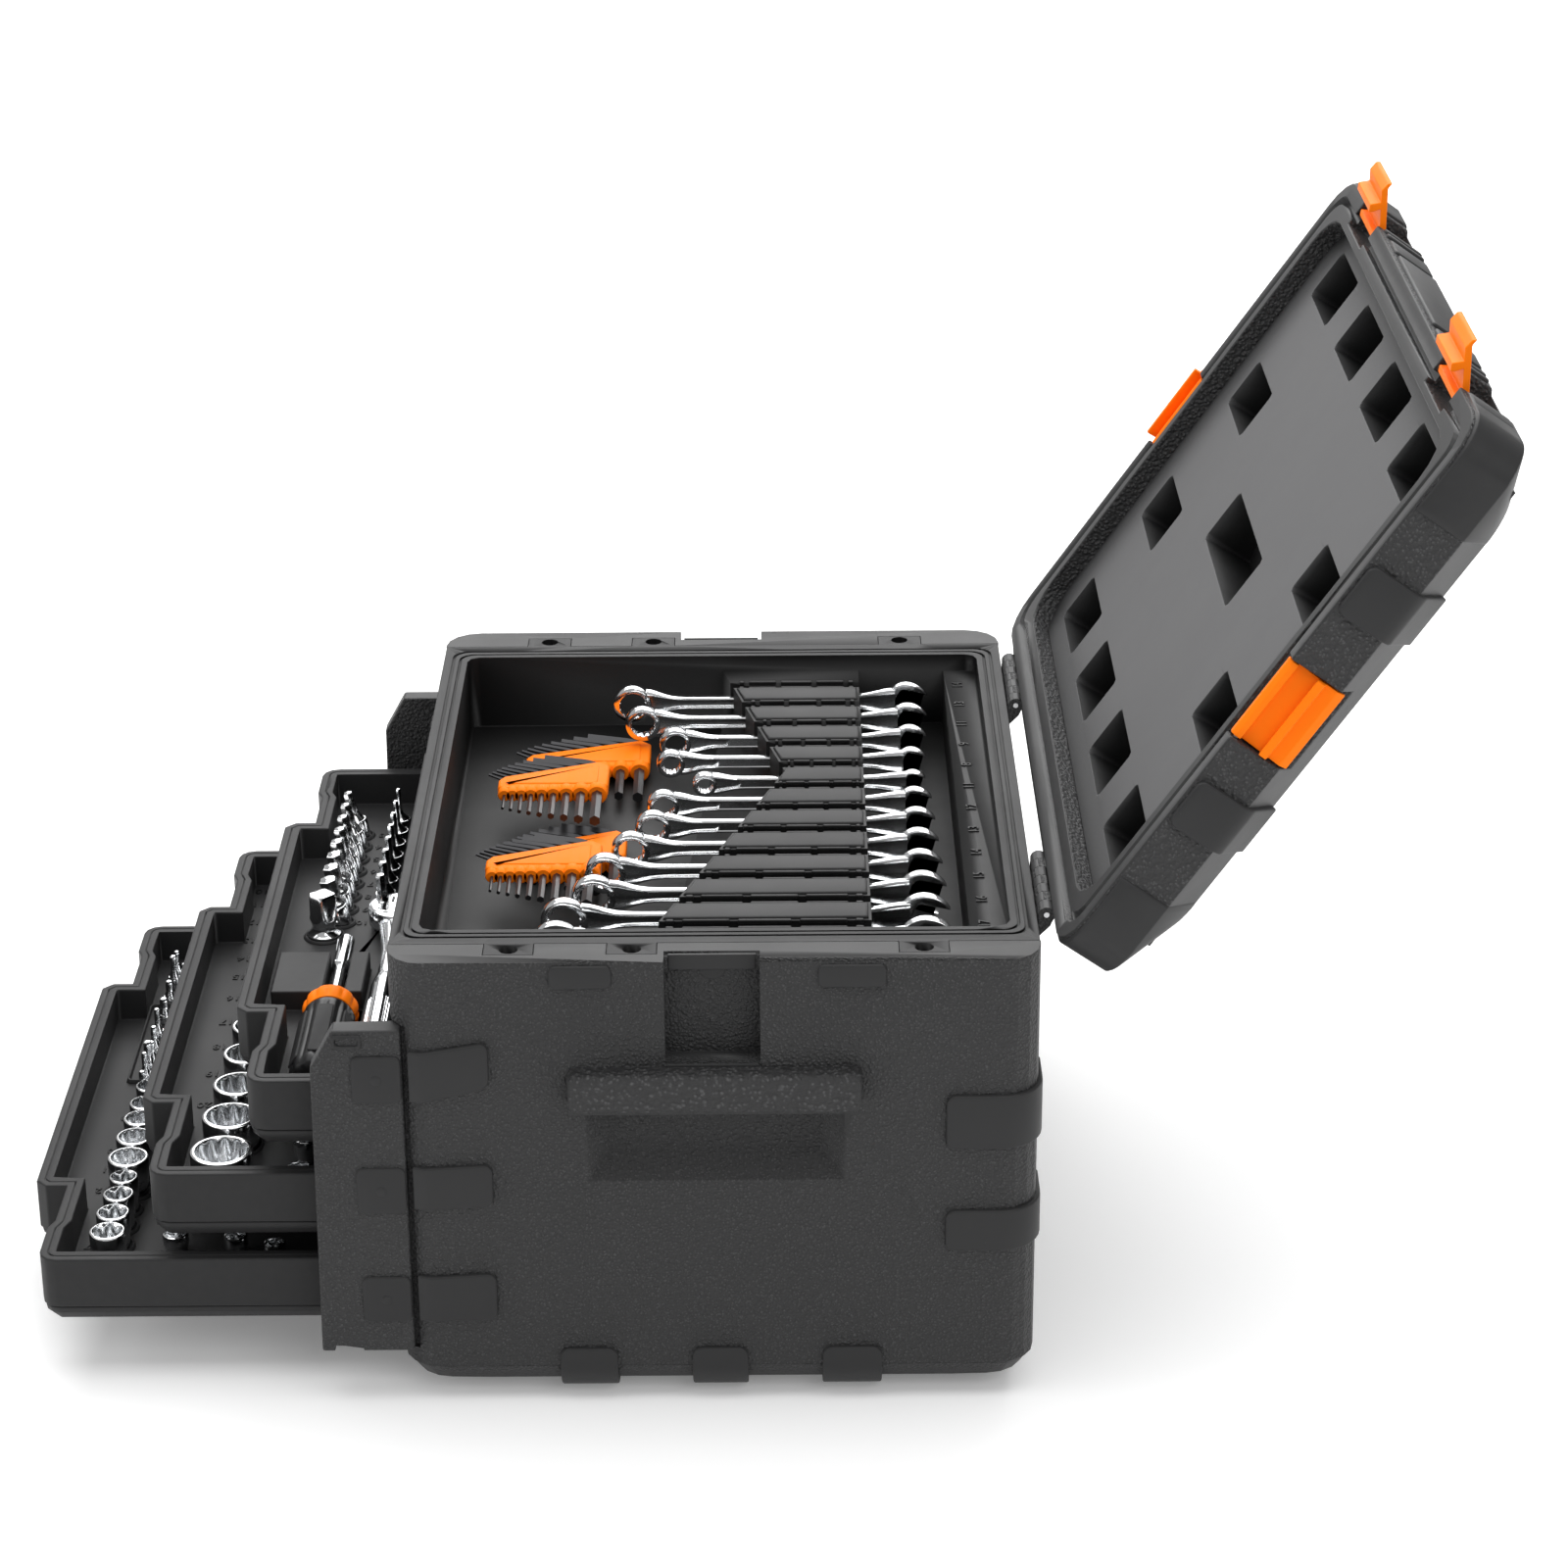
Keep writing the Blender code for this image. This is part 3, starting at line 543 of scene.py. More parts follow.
class Effect:
    """A shader node group, built once and placed in every material that uses it."""

    name: str
    inputs: dict[str, tuple[str, float | tuple]]
    outputs: dict[str, str]

    def group(self) -> bpy.types.NodeTree:
        """The group, made on first use."""
        found = bpy.data.node_groups.get(self.name)
        if found is not None:
            return found
        tree = bpy.data.node_groups.new(self.name, "ShaderNodeTree")
        for name, (kind, value) in self.inputs.items():
            socket = tree.interface.new_socket(name, in_out="INPUT", socket_type=kind)
            socket.default_value = value
        for name, kind in self.outputs.items():
            tree.interface.new_socket(name, in_out="OUTPUT", socket_type=kind)
        entry = tree.nodes.new("NodeGroupInput")
        results = self.wire(tree, entry)
        leave = tree.nodes.new("NodeGroupOutput")
        for name, socket in results.items():
            tree.links.new(socket, leave.inputs[name])
        return tree

    def wire(self, tree: bpy.types.NodeTree, entry: bpy.types.Node) -> dict:
        """Fill the group and give its output sockets by name."""
        raise NotImplementedError

    def use(self, tree: bpy.types.NodeTree, **values) -> bpy.types.Node:
        """Place the group in a material with its own values."""
        made = tree.nodes.new("ShaderNodeGroup")
        made.node_tree = self.group()
        for key, value in values.items():
            socket = made.inputs[key.replace("_", " ")]
            if isinstance(value, bpy.types.NodeSocket):
                tree.links.new(value, socket)
            else:
                socket.default_value = value
        return made


class PebbleGrain(Effect):
    """Moulded leather grain: rounded cells with a finer noise, on walls only where asked.

    Height is 1 - cell distance, plus a little noise. Mask keeps it off faces whose normal lies
    along Up, as a moulder polishes the rims and textures the walls.
    """

    name = "pebble_grain"
    inputs = {
        "Cells": ("NodeSocketFloat", 640.0),
        "Up": ("NodeSocketVector", (0.0, 0.0, 1.0)),
        "Everywhere": ("NodeSocketFloat", 0.0),
    }
    outputs = {"Height": "NodeSocketFloat", "Mask": "NodeSocketFloat"}

    def wire(self, tree: bpy.types.NodeTree, entry: bpy.types.Node) -> dict:
        """Cells warped by noise, and the wall mask."""
        place = add_node(tree, "ShaderNodeTexCoord")
        here = place.outputs["Object"]
        shift = vector_node(tree, "MULTIPLY", noise(tree, here, 380.0, 2.0).outputs["Color"], (0.0016,) * 3)
        moved = vector_node(tree, "ADD", here, shift.outputs[0])
        cells = add_node(tree, "ShaderNodeTexVoronoi", {
            "Vector": moved.outputs[0], "Scale": entry.outputs["Cells"], "Smoothness": 0.7}, feature="SMOOTH_F1")
        domes = math_node(tree, "SUBTRACT", 1.0, cells.outputs["Distance"])
        height = math_node(tree, "MULTIPLY_ADD", noise(tree, here, 2400.0, 3.0).outputs["Fac"], 0.25, domes)
        along = vector_node(tree, "DOT_PRODUCT", place.outputs["Normal"], entry.outputs["Up"])
        wall = mapped(tree, math_node(tree, "ABSOLUTE", along.outputs["Value"]), 0.55, 0.75, 1.0, 0.0)
        mask = math_node(tree, "MAXIMUM", wall, entry.outputs["Everywhere"])
        return {"Height": math_node(tree, "MULTIPLY", height, mask), "Mask": mask}


class EdgeWear(Effect):
    """Rubbed edges: surface curvature above a limit, broken up by noise."""

    name = "edge_wear"
    inputs = {"Amount": ("NodeSocketFloat", 0.5)}
    outputs = {"Mask": "NodeSocketFloat"}

    def wire(self, tree: bpy.types.NodeTree, entry: bpy.types.Node) -> dict:
        """Pointiness through a narrow ramp, times noise."""
        shape = add_node(tree, "ShaderNodeNewGeometry")
        place = add_node(tree, "ShaderNodeTexCoord")
        edge = mapped(tree, shape.outputs["Pointiness"], 0.54, 0.66)
        torn = mapped(tree, noise(tree, place.outputs["Object"], 160.0, 4.0).outputs["Fac"], 0.35, 0.65)
        mask = math_node(tree, "MULTIPLY", edge, torn)
        return {"Mask": math_node(tree, "MULTIPLY", mask, entry.outputs["Amount"])}


class Handling(Effect):
    """Marks of moulding and use: slow clouds, fine drawn streaks and specks of dust."""

    name = "handling_marks"
    inputs = {"Stretch": ("NodeSocketVector", (30.0, 260.0, 260.0))}
    outputs = {"Clouds": "NodeSocketFloat", "Streaks": "NodeSocketFloat", "Specks": "NodeSocketFloat"}

    def wire(self, tree: bpy.types.NodeTree, entry: bpy.types.Node) -> dict:
        """Two noises and a field of dots, at three scales."""
        here = add_node(tree, "ShaderNodeTexCoord").outputs["Object"]
        drawn = add_node(tree, "ShaderNodeMapping", {"Vector": here, "Scale": entry.outputs["Stretch"]})
        dots = add_node(tree, "ShaderNodeTexVoronoi", {"Vector": here, "Scale": 90.0})
        return {"Clouds": noise(tree, here, 14.0, 5.0, 0.6).outputs["Fac"],
                "Streaks": noise(tree, drawn.outputs[0], 1.0, 6.0).outputs["Fac"],
                "Specks": mapped(tree, dots.outputs["Distance"], 0.02, 0.035, 1.0, 0.0)}


PEBBLE, WEAR, MARKS = PebbleGrain(), EdgeWear(), Handling()


@dataclass(frozen=True)
class Finish:
    """A finish: its name, the record's slot, and its main values."""

    name: str
    slot: str
    colour: tuple[float, float, float]
    roughness: float

    def material(self) -> bpy.types.Material:
        """The finish's material, made on first use."""
        found = bpy.data.materials.get(self.name)
        if found is not None:
            return found
        made = bpy.data.materials.new(self.name)
        made.use_nodes = True
        self.dress(made.node_tree, made.node_tree.nodes["Principled BSDF"])
        return made

    def dress(self, tree: bpy.types.NodeTree, shader: bpy.types.Node) -> None:
        """Wire the finish into its shader."""
        raise NotImplementedError

    def shade(self, tree: bpy.types.NodeTree, factor: bpy.types.NodeSocket,
              other: tuple) -> bpy.types.NodeSocket:
        """The finish's colour, turned towards another by a factor."""
        return mixed(tree, factor, (*self.colour, 1), (*other, 1))


@dataclass(frozen=True)
class MouldedPlastic(Finish):
    """Charcoal plastic: polished or with pebble grain on its walls, paler where its edges are rubbed, with
    painted highlight on the grain's tops and, where shadow is set, painted shade in its hollows.
    """

    grain: float = 0.0
    cells: float = 620.0
    up: tuple[float, float, float] = (0.0, 0.0, 1.0)
    everywhere: float = 0.0
    # Pale colour of rubbed edges and specks, and of the painted highlight on the grain's tops.
    worn_and_sheen: tuple[float, float, float] = (0.1, 0.1, 0.102)
    wear: float = 0.12
    rounding: float = 0.0008
    shadow: float = 0.0

    def dress(self, tree: bpy.types.NodeTree, shader: bpy.types.Node) -> None:
        """Grain and streaks in the bump, clouds in the roughness; wear, specks, painted highlight on the grain's
        tops and painted shade in hollows in the colour.
        """
        marks = MARKS.use(tree)
        wear = WEAR.use(tree, Amount=self.wear)
        grain = PEBBLE.use(tree, Cells=self.cells, Up=self.up, Everywhere=self.everywhere)
        specks = math_node(tree, "MULTIPLY", marks.outputs["Specks"], 0.2)
        pale = math_node(tree, "MAXIMUM", wear.outputs["Mask"], specks)
        tint = math_node(tree, "MULTIPLY_ADD", marks.outputs["Clouds"], 0.03, pale)
        # Painted highlight and shade: the grain's raised tops are painted towards the paler colour, and its
        # hollows stay darker.
        domes = mapped(tree, grain.outputs["Height"], 0.75, 1.05, 0.0, 0.5 * self.grain)
        colour = self.shade(tree, math_node(tree, "ADD", tint, domes), self.worn_and_sheen)
        # Painted shade: where ambient occlusion finds hollows, the colour is painted towards near black.
        if self.shadow:
            open_sky = add_node(tree, "ShaderNodeAmbientOcclusion", {"Distance": self.shadow}, samples=8)
            depth = math_node(tree, "POWER", open_sky.outputs["AO"], 3.0)
            colour = mixed(tree, depth, PAINTED_SHADE, colour)
        tree.links.new(colour, shader.inputs["Base Color"])
        rough = mapped(tree, marks.outputs["Clouds"], 0.0, 1.0, self.roughness - 0.08, self.roughness + 0.1)
        tree.links.new(rough, shader.inputs["Roughness"])
        streaks = math_node(tree, "MULTIPLY", marks.outputs["Streaks"], 0.05)
        height = math_node(tree, "MULTIPLY_ADD", grain.outputs["Height"], self.grain, streaks)
        rounded = add_node(tree, "ShaderNodeBevel", {"Radius": self.rounding}, samples=6)
        bumped(tree, shader, height, 0.0012, 0.9, Normal=rounded.outputs[0])
        shader.inputs["Specular IOR Level"].default_value = 0.2 + 0.12 * min(self.grain, 1.0)


@dataclass(frozen=True)
class ColouredPlastic(Finish):
    """Bright moulded plastic, a little deeper in clouds and paler on its edges."""

    deep: tuple[float, float, float] = (0.85, 0.13, 0.002)
    pale: tuple[float, float, float] = (1.0, 0.3, 0.02)

    def dress(self, tree: bpy.types.NodeTree, shader: bpy.types.Node) -> None:
        """Clouds and edge wear in the colour, fine orange-peel bump."""
        marks = MARKS.use(tree)
        wear = WEAR.use(tree, Amount=0.2)
        cloudy = self.shade(tree, math_node(tree, "MULTIPLY", marks.outputs["Clouds"], 0.45), self.deep)
        tree.links.new(mixed(tree, wear.outputs["Mask"], cloudy, (*self.pale, 1)), shader.inputs["Base Color"])
        rough = math_node(tree, "MULTIPLY_ADD", marks.outputs["Streaks"], 0.2, self.roughness - 0.1)
        tree.links.new(rough, shader.inputs["Roughness"])
        bumped(tree, shader, marks.outputs["Streaks"], 0.0002, 0.35)
        shader.inputs["Specular IOR Level"].default_value = 0.07


@dataclass(frozen=True)
class PlatedSteel(Finish):
    """Steel, plated or bare: drawn streaks in gloss and bump, a duller film in clouds."""

    metallic: float = 1.0
    streak: float = 0.12
    film: tuple[float, float, float] = (0.45, 0.46, 0.48)

    def dress(self, tree: bpy.types.NodeTree, shader: bpy.types.Node) -> None:
        """Streaks in the roughness, film in the colour."""
        marks = MARKS.use(tree, Stretch=(900.0, 120.0, 900.0))
        hazy = mapped(tree, marks.outputs["Clouds"], 0.5, 0.8, 0.0, 0.6)
        tree.links.new(self.shade(tree, hazy, self.film), shader.inputs["Base Color"])
        rough = math_node(tree, "MULTIPLY_ADD", marks.outputs["Streaks"], self.streak, self.roughness)
        tree.links.new(rough, shader.inputs["Roughness"])
        bumped(tree, shader, marks.outputs["Streaks"], 0.0001, 0.12)
        shader.inputs["Metallic"].default_value = self.metallic


LID_TURN = math.radians(-125.0)
LID_UP = (0.0, -math.sin(LID_TURN), math.cos(LID_TURN))
CHARCOAL = (0.026, 0.026, 0.0265)
# Painted shade: the near-black colour that hollows are painted towards.
PAINTED_SHADE = (0.002, 0.002, 0.002, 1)
GRAINED = MouldedPlastic("grained_charcoal", "grained_plastic", CHARCOAL, 0.5, grain=1.0)
LID_GRAINED = MouldedPlastic("grained_charcoal_lid", "grained_plastic", CHARCOAL, 0.46, grain=1.3,
                             cells=500.0, up=LID_UP)
SMOOTH = MouldedPlastic("smooth_charcoal", "tray_plastic", CHARCOAL, 0.46)
# The tray's shadow distance paints shade into its floor and hollows.
TRAY = MouldedPlastic("tray_charcoal", "tray_plastic", (0.02, 0.02, 0.0205), 0.5, shadow=0.06)
# The liner's shadow distance paints its pockets near black inside, as painted shade.
LINER = MouldedPlastic("liner_grey", "liner_plastic", (0.11, 0.11, 0.112), 0.55, worn_and_sheen=(0.2, 0.2, 0.2),
                       shadow=0.04)
GRIP = MouldedPlastic("grip_charcoal", "grained_plastic", CHARCOAL, 0.4, grain=1.6, cells=380.0,
                      everywhere=1.0)
DRAWER = MouldedPlastic("drawer_charcoal", "tray_plastic", (0.02, 0.02, 0.0205), 0.5)
RUBBER = MouldedPlastic("grip_rubber", "handle_plastic", (0.02, 0.02, 0.0205), 0.6)
LID_SMOOTH = MouldedPlastic("smooth_charcoal_lid", "tray_plastic", CHARCOAL, 0.44)
MARKING = MouldedPlastic("marking_black", "tray_plastic", (0.003, 0.003, 0.003), 0.4)
ORANGE = ColouredPlastic("bright_orange", "orange_plastic", (1.0, 0.215, 0.005), 0.5)
CHROME = PlatedSteel("chrome_plate", "chrome", (0.86, 0.87, 0.88), 0.07, film=(0.72, 0.73, 0.75))
STEEL = PlatedSteel("bare_steel", "pin_steel", (0.55, 0.55, 0.56), 0.28)
OXIDE = PlatedSteel("black_oxide", "pin_steel", (0.035, 0.035, 0.037), 0.24, metallic=0.7,
                    film=(0.06, 0.06, 0.06))
HANDLE = MouldedPlastic("handle_black", "handle_plastic", (0.01, 0.01, 0.0105), 0.3)


# ---------------------------------------------------------------- pieces


def declare(piece: bpy.types.Object, finish: Finish, body: str, stands_for: Iterable[str]) -> None:
    """Dress a piece, make it ride on its body, and report it."""
    piece.data.materials.clear()
    piece.data.materials.append(finish.material())
    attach(piece, body)
    nodes = tuple(stands_for)
    if nodes:
        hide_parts(*nodes)
    LOG.info("%s: %d faces on %s in %s", piece.name, len(piece.data.polygons), body, finish.name)


def make_piece(name: str, shells: Iterable[Shell], finish: Finish, body: str,
               stands_for: Iterable[str] = (), angle: float = 38.0) -> bpy.types.Object:
    """One piece from closed shells.

    Args:
        name: the piece's name.
        shells: its surfaces, in millimetres.
        finish: what it is dressed in.
        body: the body it rides on.
        stands_for: nodes that it replaces.
        angle: edges sharper than this, in degrees, stay crisp.

    Returns:
        The object.
    """
    whole = merged(shells)
    mesh = bpy.data.meshes.new(name)
    mesh.from_pydata((whole.points * MM).tolist(), [], whole.faces)
    shape = bmesh.new()
    shape.from_mesh(mesh)
    bmesh.ops.remove_doubles(shape, verts=shape.verts, dist=2e-6)
    bmesh.ops.recalc_face_normals(shape, faces=shape.faces)
    shape.to_mesh(mesh)
    shape.free()
    mesh.shade_smooth()
    mesh.set_sharp_from_angle(angle=math.radians(angle))
    piece = bpy.data.objects.new(name, mesh)
    bpy.context.scene.collection.objects.link(piece)
    declare(piece, finish, body, stands_for)
    return piece


def body_of(node: str) -> str:
    """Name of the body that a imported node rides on."""
    return frame["nodes"][node].parent.name.removeprefix("body:")


def bevelled(mesh: bpy.types.Mesh, width: float, shortest: float) -> None:
    """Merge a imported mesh's doubled points and, if width is above 0, round its sharp edges.

    Args:
        mesh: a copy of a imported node's mesh.
        width: width of the rounding, in millimetres.
        shortest: edges shorter than this stay as they are.
    """
    shape = bmesh.new()
    shape.from_mesh(mesh)
    bmesh.ops.remove_doubles(shape, verts=shape.verts, dist=2e-5)
    if width:
        bmesh.ops.dissolve_limit(shape, angle_limit=math.radians(0.5), verts=shape.verts, edges=shape.edges)
        sharp = [
            edge for edge in shape.edges
            if edge.is_manifold and edge.calc_face_angle() > SHARP and edge.calc_length() > shortest * MM
        ]
        bmesh.ops.bevel(shape, geom=sharp, offset=width * MM, segments=2, profile=0.5, affect="EDGES",
                        clamp_overlap=False)
    shape.to_mesh(mesh)
    shape.free()


def carve(piece: bpy.types.Object, groove: Shell) -> None:
    """Cut a closed shell out of a piece, and keep the result as the piece's mesh."""
    mesh = bpy.data.meshes.new("groove")
    mesh.from_pydata((groove.points * MM).tolist(), [], groove.faces)
    shape = bmesh.new()
    shape.from_mesh(mesh)
    bmesh.ops.recalc_face_normals(shape, faces=shape.faces)
    shape.to_mesh(mesh)
    shape.free()
    cutter = bpy.data.objects.new("groove", mesh)
    bpy.context.scene.collection.objects.link(cutter)
    step = piece.modifiers.new("groove", "BOOLEAN")
    step.operation, step.object = "DIFFERENCE", cutter
    bpy.context.view_layer.update()
    graph = bpy.context.evaluated_depsgraph_get()
    piece.data = bpy.data.meshes.new_from_object(piece.evaluated_get(graph))
    piece.modifiers.clear()
    bpy.data.objects.remove(cutter)


def softened(node: str, finish: Finish, width: float = 0.7, shortest: float = 3.0,
             grooves: Iterable[Shell] = ()) -> None:
    """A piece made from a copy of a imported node, with rounded edges and cut grooves.

    Args:
        node: the node that it stands for.
        finish: what it is dressed in.
        width: width of the rounding; at 0 the edges are left to the finish.
        shortest: edges shorter than this stay as they are.
        grooves: closed shells to cut away.
    """
    mesh = frame["nodes"][node].data.copy()
    mesh.name = f"{node}_moulding"
    bevelled(mesh, width, shortest)
    piece = bpy.data.objects.new(f"{node}_moulding", mesh)
    bpy.context.scene.collection.objects.link(piece)
    for groove in grooves:
        carve(piece, groove)
    piece.data.shade_smooth()
    piece.data.set_sharp_from_angle(angle=ROUNDED_SHARP if width else PLAIN_SHARP)
    weight = piece.modifiers.new("even shading", "WEIGHTED_NORMAL")
    weight.keep_sharp = True
    declare(piece, finish, body_of(node), [node])


def carried(node: str, finish: Finish) -> None:
    """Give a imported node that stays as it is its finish."""
    mesh = frame["nodes"][node].data
    mesh.materials.clear()
    mesh.materials.append(finish.material())
    LOG.info("%s: packed node in %s", node, finish.name)


# ---------------------------------------------------------------- the case


@dataclass
class CaseBody:
    """Outer walls: grained shell and tub with smooth straps, clips, pads, ribs and catches."""

    corner: float = 20.0
    strap_end: float = -116.0
    front_reach: float = 36.0
    front_bend: float = 27.0
    front_straps: tuple = (
        (189.0, 180.0, 215.0, 209.0), (119.0, 117.0, 144.0, 142.0), (51.0, 50.0, 79.0, 77.0))
    rear_straps: tuple = ((151.5, 182.5), (91.0, 115.0))
    clips: tuple = ((-84.0, -53.5), (-14.0, 15.5), (55.0, 86.5))
    top_pads: tuple = ((-84.0, -52.0), (53.0, 88.0))
    wall: float = field(init=False)
    depth: float = field(init=False)
    top: float = field(init=False)

    def __post_init__(self) -> None:
        """Read the walls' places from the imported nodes."""
        low, high = span("case_shell")
        self.wall = float(span("corner_flap_right")[1][0])
        self.depth = float(-low[1])
        self.top = float(high[2]) - 5.0

    def corner_track(self, start: float, bend: float, beyond: float) -> Track:
        """Level line on the right wall towards +Y and round the corner.

        Args:
            start: Y where it begins.
            bend: how far round the corner it goes, in radians.
            beyond: length along the end wall after a full bend.

        Returns:
            The track at height zero.
        """
        turn = np.linspace(0, bend, 12)
        centre = np.array([self.wall - self.corner, self.depth - self.corner])
        arc = centre + self.corner * np.column_stack([np.cos(turn), np.sin(turn)])
        along = np.column_stack([np.cos(turn), np.sin(turn)])
        plan = np.vstack([[self.wall, start], arc])
        out = np.vstack([[1.0, 0.0], along])
        if beyond:
            plan = np.vstack([plan, plan[-1] + [-beyond, 0]])
            out = np.vstack([out, out[-1]])
        level = np.zeros(len(plan))
        return Track(np.column_stack([plan, level]), np.column_stack([out, level]))

    def straps(self) -> list[Shell]:
        """Straps of the right side: three round the front corner and two round the rear one."""
        up = (0, 0, 1)
        front = self.corner_track(-self.strap_end, math.radians(self.front_bend), 0)
        reach = self.front_reach
        made = [
            strap(front, up, line(low, low_end, reach), line(high, high_end, reach)).mirrored(1)
            for low, low_end, high, high_end in self.front_straps
        ]
        rear = self.corner_track(119.0, math.pi / 2, 26.0)
        made += [strap(rear, up, flat(low), flat(high), ends=(True, True)) for low, high in self.rear_straps]
        return made

    def clip_track(self) -> Track:
        """Line down the right wall, over the seam and round the tub's chamfer."""
        points = [(self.wall, 33.0), (self.wall, 21.0), (self.wall - 1.6, 16.0), (self.wall - 5.2, 10.5),
                  (self.wall - 12.0, 5.6), (self.wall - 20.0, 2.6)]
        plan = np.array(points)
        steps = np.gradient(plan, axis=0)
        steps /= np.linalg.norm(steps, axis=1, keepdims=True)
        nought = np.zeros(len(plan))
        return Track(np.column_stack([plan[:, 0], nought, plan[:, 1]]),
                     np.column_stack([-steps[:, 1], nought, steps[:, 0]]))

    def wall_pads(self) -> list[Shell]:
        """Bottom clips, and the pads under the rim, of the right side."""
        track = self.clip_track()
        made = [
            strap(track, (0, 1, 0), flat(low), flat(high), height=2.2, edge=1.0) for low, high in self.clips
        ]
        for low, high in self.top_pads:
            plate = slab(((high - low) / 2, 6.5, 2.4), 3.5, 1.1)
            made.append(plate.placed(facing(1, self.wall - 0.8, (low + high) / 2, 251.5)))
        return made

    def catches(self) -> list[Shell]:
        """Plate with a half-round tab on the right side's latch catch, and a ledge under its recess."""
        turn = np.linspace(math.pi, 2 * math.pi, 12)
        tab = np.column_stack([7.0 * np.cos(turn), 6.2 * np.sin(turn)])
        plate = np.array([(-22.4, 1.2), (22.4, 1.2), (22.4, 9.6), (-22.4, 9.6)])
        return [
            pad(plate, 0.0, 1.9, 0.4).placed(facing(1, self.wall - 11.0, -1.0, 249.6)),
            pad(np.vstack([[(7.0, 1.6), (-7.0, 1.6)], tab]), 0.0, 1.0, 0.3).placed(
                facing(1, self.wall - 13.6, -1.0, 249.6)),
            slab((24.0, 1.6, 1.8), 1.2, 0.7).placed(facing(1, self.wall - 1.0, -1.0, 200.0)),
        ]

    def grips(self) -> list[Shell]:
        """Skin of the right side's lifting bar: a rounded section carried along Y, drawn in at its ends."""
        section = inset(rounded_rect(8.2, 10.8, 4.2, 6), -0.2)
        end = np.array([72.0, 74.2, 75.2, 75.5])
        along = np.concatenate([-end[::-1], np.linspace(-68, 68, 18), end])
        draw = np.interp(np.abs(along), end, [1.0, 0.96, 0.88, 0.78])
        path = np.column_stack([np.full(len(along), self.wall + 4.4), along, np.full(len(along), 189.0)])
        return [swept(section, path, (0, 0, 1), np.column_stack([draw, draw]))]

    def front_ribs(self) -> list[Shell]:
        """Ribs and plates on the band above the drawers, between the latch recesses."""
        front = Place((0, -self.depth + 0.6, 0), (1, 0, 0), (0, 0, 1), (0, -1, 0))
        plates = [((-63.0, 63.0), (228.0, 252.0), 2.6), ((-94.0, -70.0), (226.5, 252.5), 2.2),
                  ((70.0, 94.0), (226.5, 252.5), 2.2)]
        plates += [((x - 3, x + 3), (225.5, 253.0), 2.4) for x in (-113.5, -104.5, 104.5, 113.5)]
        made = []
        for (left, right), (low, high), proud in plates:
            plate = slab(((right - left) / 2, (high - low) / 2, proud), 2.0, 0.9)
            made.append(plate.placed(Place(front(np.array([(left + right) / 2, (low + high) / 2, 0.0])),
                                           front.x, front.y, front.z)))
        return made

    def build(self) -> None:
        """Make every piece of the outer body."""
        softened("case_shell", GRAINED, 0.0)
        softened("base_tub", GRAINED, 1.2)
        for word, sign in SIDES:
            make_piece(f"corner_straps_{word}", sided(self.straps(), sign), SMOOTH, "case")
            make_piece(f"wall_clips_{word}", sided(self.wall_pads(), sign), SMOOTH, "case")
            make_piece(f"latch_catch_{word}", sided(self.catches(), sign), SMOOTH, "case")
            make_piece(f"lifting_bar_{word}", sided(self.grips(), sign), GRIP, "case")
            softened(f"runner_{word}", TRAY, 0.4)
        make_piece("front_ribs", self.front_ribs(), SMOOTH, "case")


@dataclass
class CornerFlaps:
    """Flaps in front of the side walls, with three smooth panels and a slot near the top."""

    panels: tuple = ((180.0, 207.0), (115.0, 142.0), (50.0, 77.0))
    from_y: float = -187.0
    to_y: float = -161.4

    def extras(self) -> list[Shell]:
        """Panels and the slot's raised frame on the right flap's outer face."""
        _, high = span("corner_flap_right")
        middle = (self.from_y + self.to_y) / 2
        half = (self.to_y - self.from_y) / 2
        made = []
        for low_z, high_z in self.panels:
            plate = slab((half, (high_z - low_z) / 2, 2.0), 3.5, 0.9)
            made.append(plate.placed(facing(1, high[0] - 0.7, middle, (low_z + high_z) / 2)))
            made.append(turned([(2.6, 0), (2.6, 0.2), (2.3, 0.35)], sides=24).placed(
                facing(1, high[0] + 1.2, middle, (low_z + high_z) / 2)))
        rim = np.stack([
            np.column_stack([rounded_rect(7.6 - cut, 3.9 - cut, 1.6), np.full(24, height)])
            for cut, height in ((0, 0), (0, 0.7), (0.5, 1.1), (1.3, 1.1), (1.7, 0.7), (1.7, 0))
        ])
        made.append(loft(rim, closed=True).placed(facing(1, high[0] - 0.2, -188.5, 215.5)))
        return made

    def build(self) -> None:
        """Both flaps and their pins."""
        for word, sign in SIDES:
            softened(f"corner_flap_{word}", GRAINED, 1.2)
            make_piece(f"flap_panels_{word}", sided(self.extras(), sign), SMOOTH, f"corner_flap_{word}")
            carried(f"flap_pin_{word}", STEEL)


# ---------------------------------------------------------------- the top tray and its tools


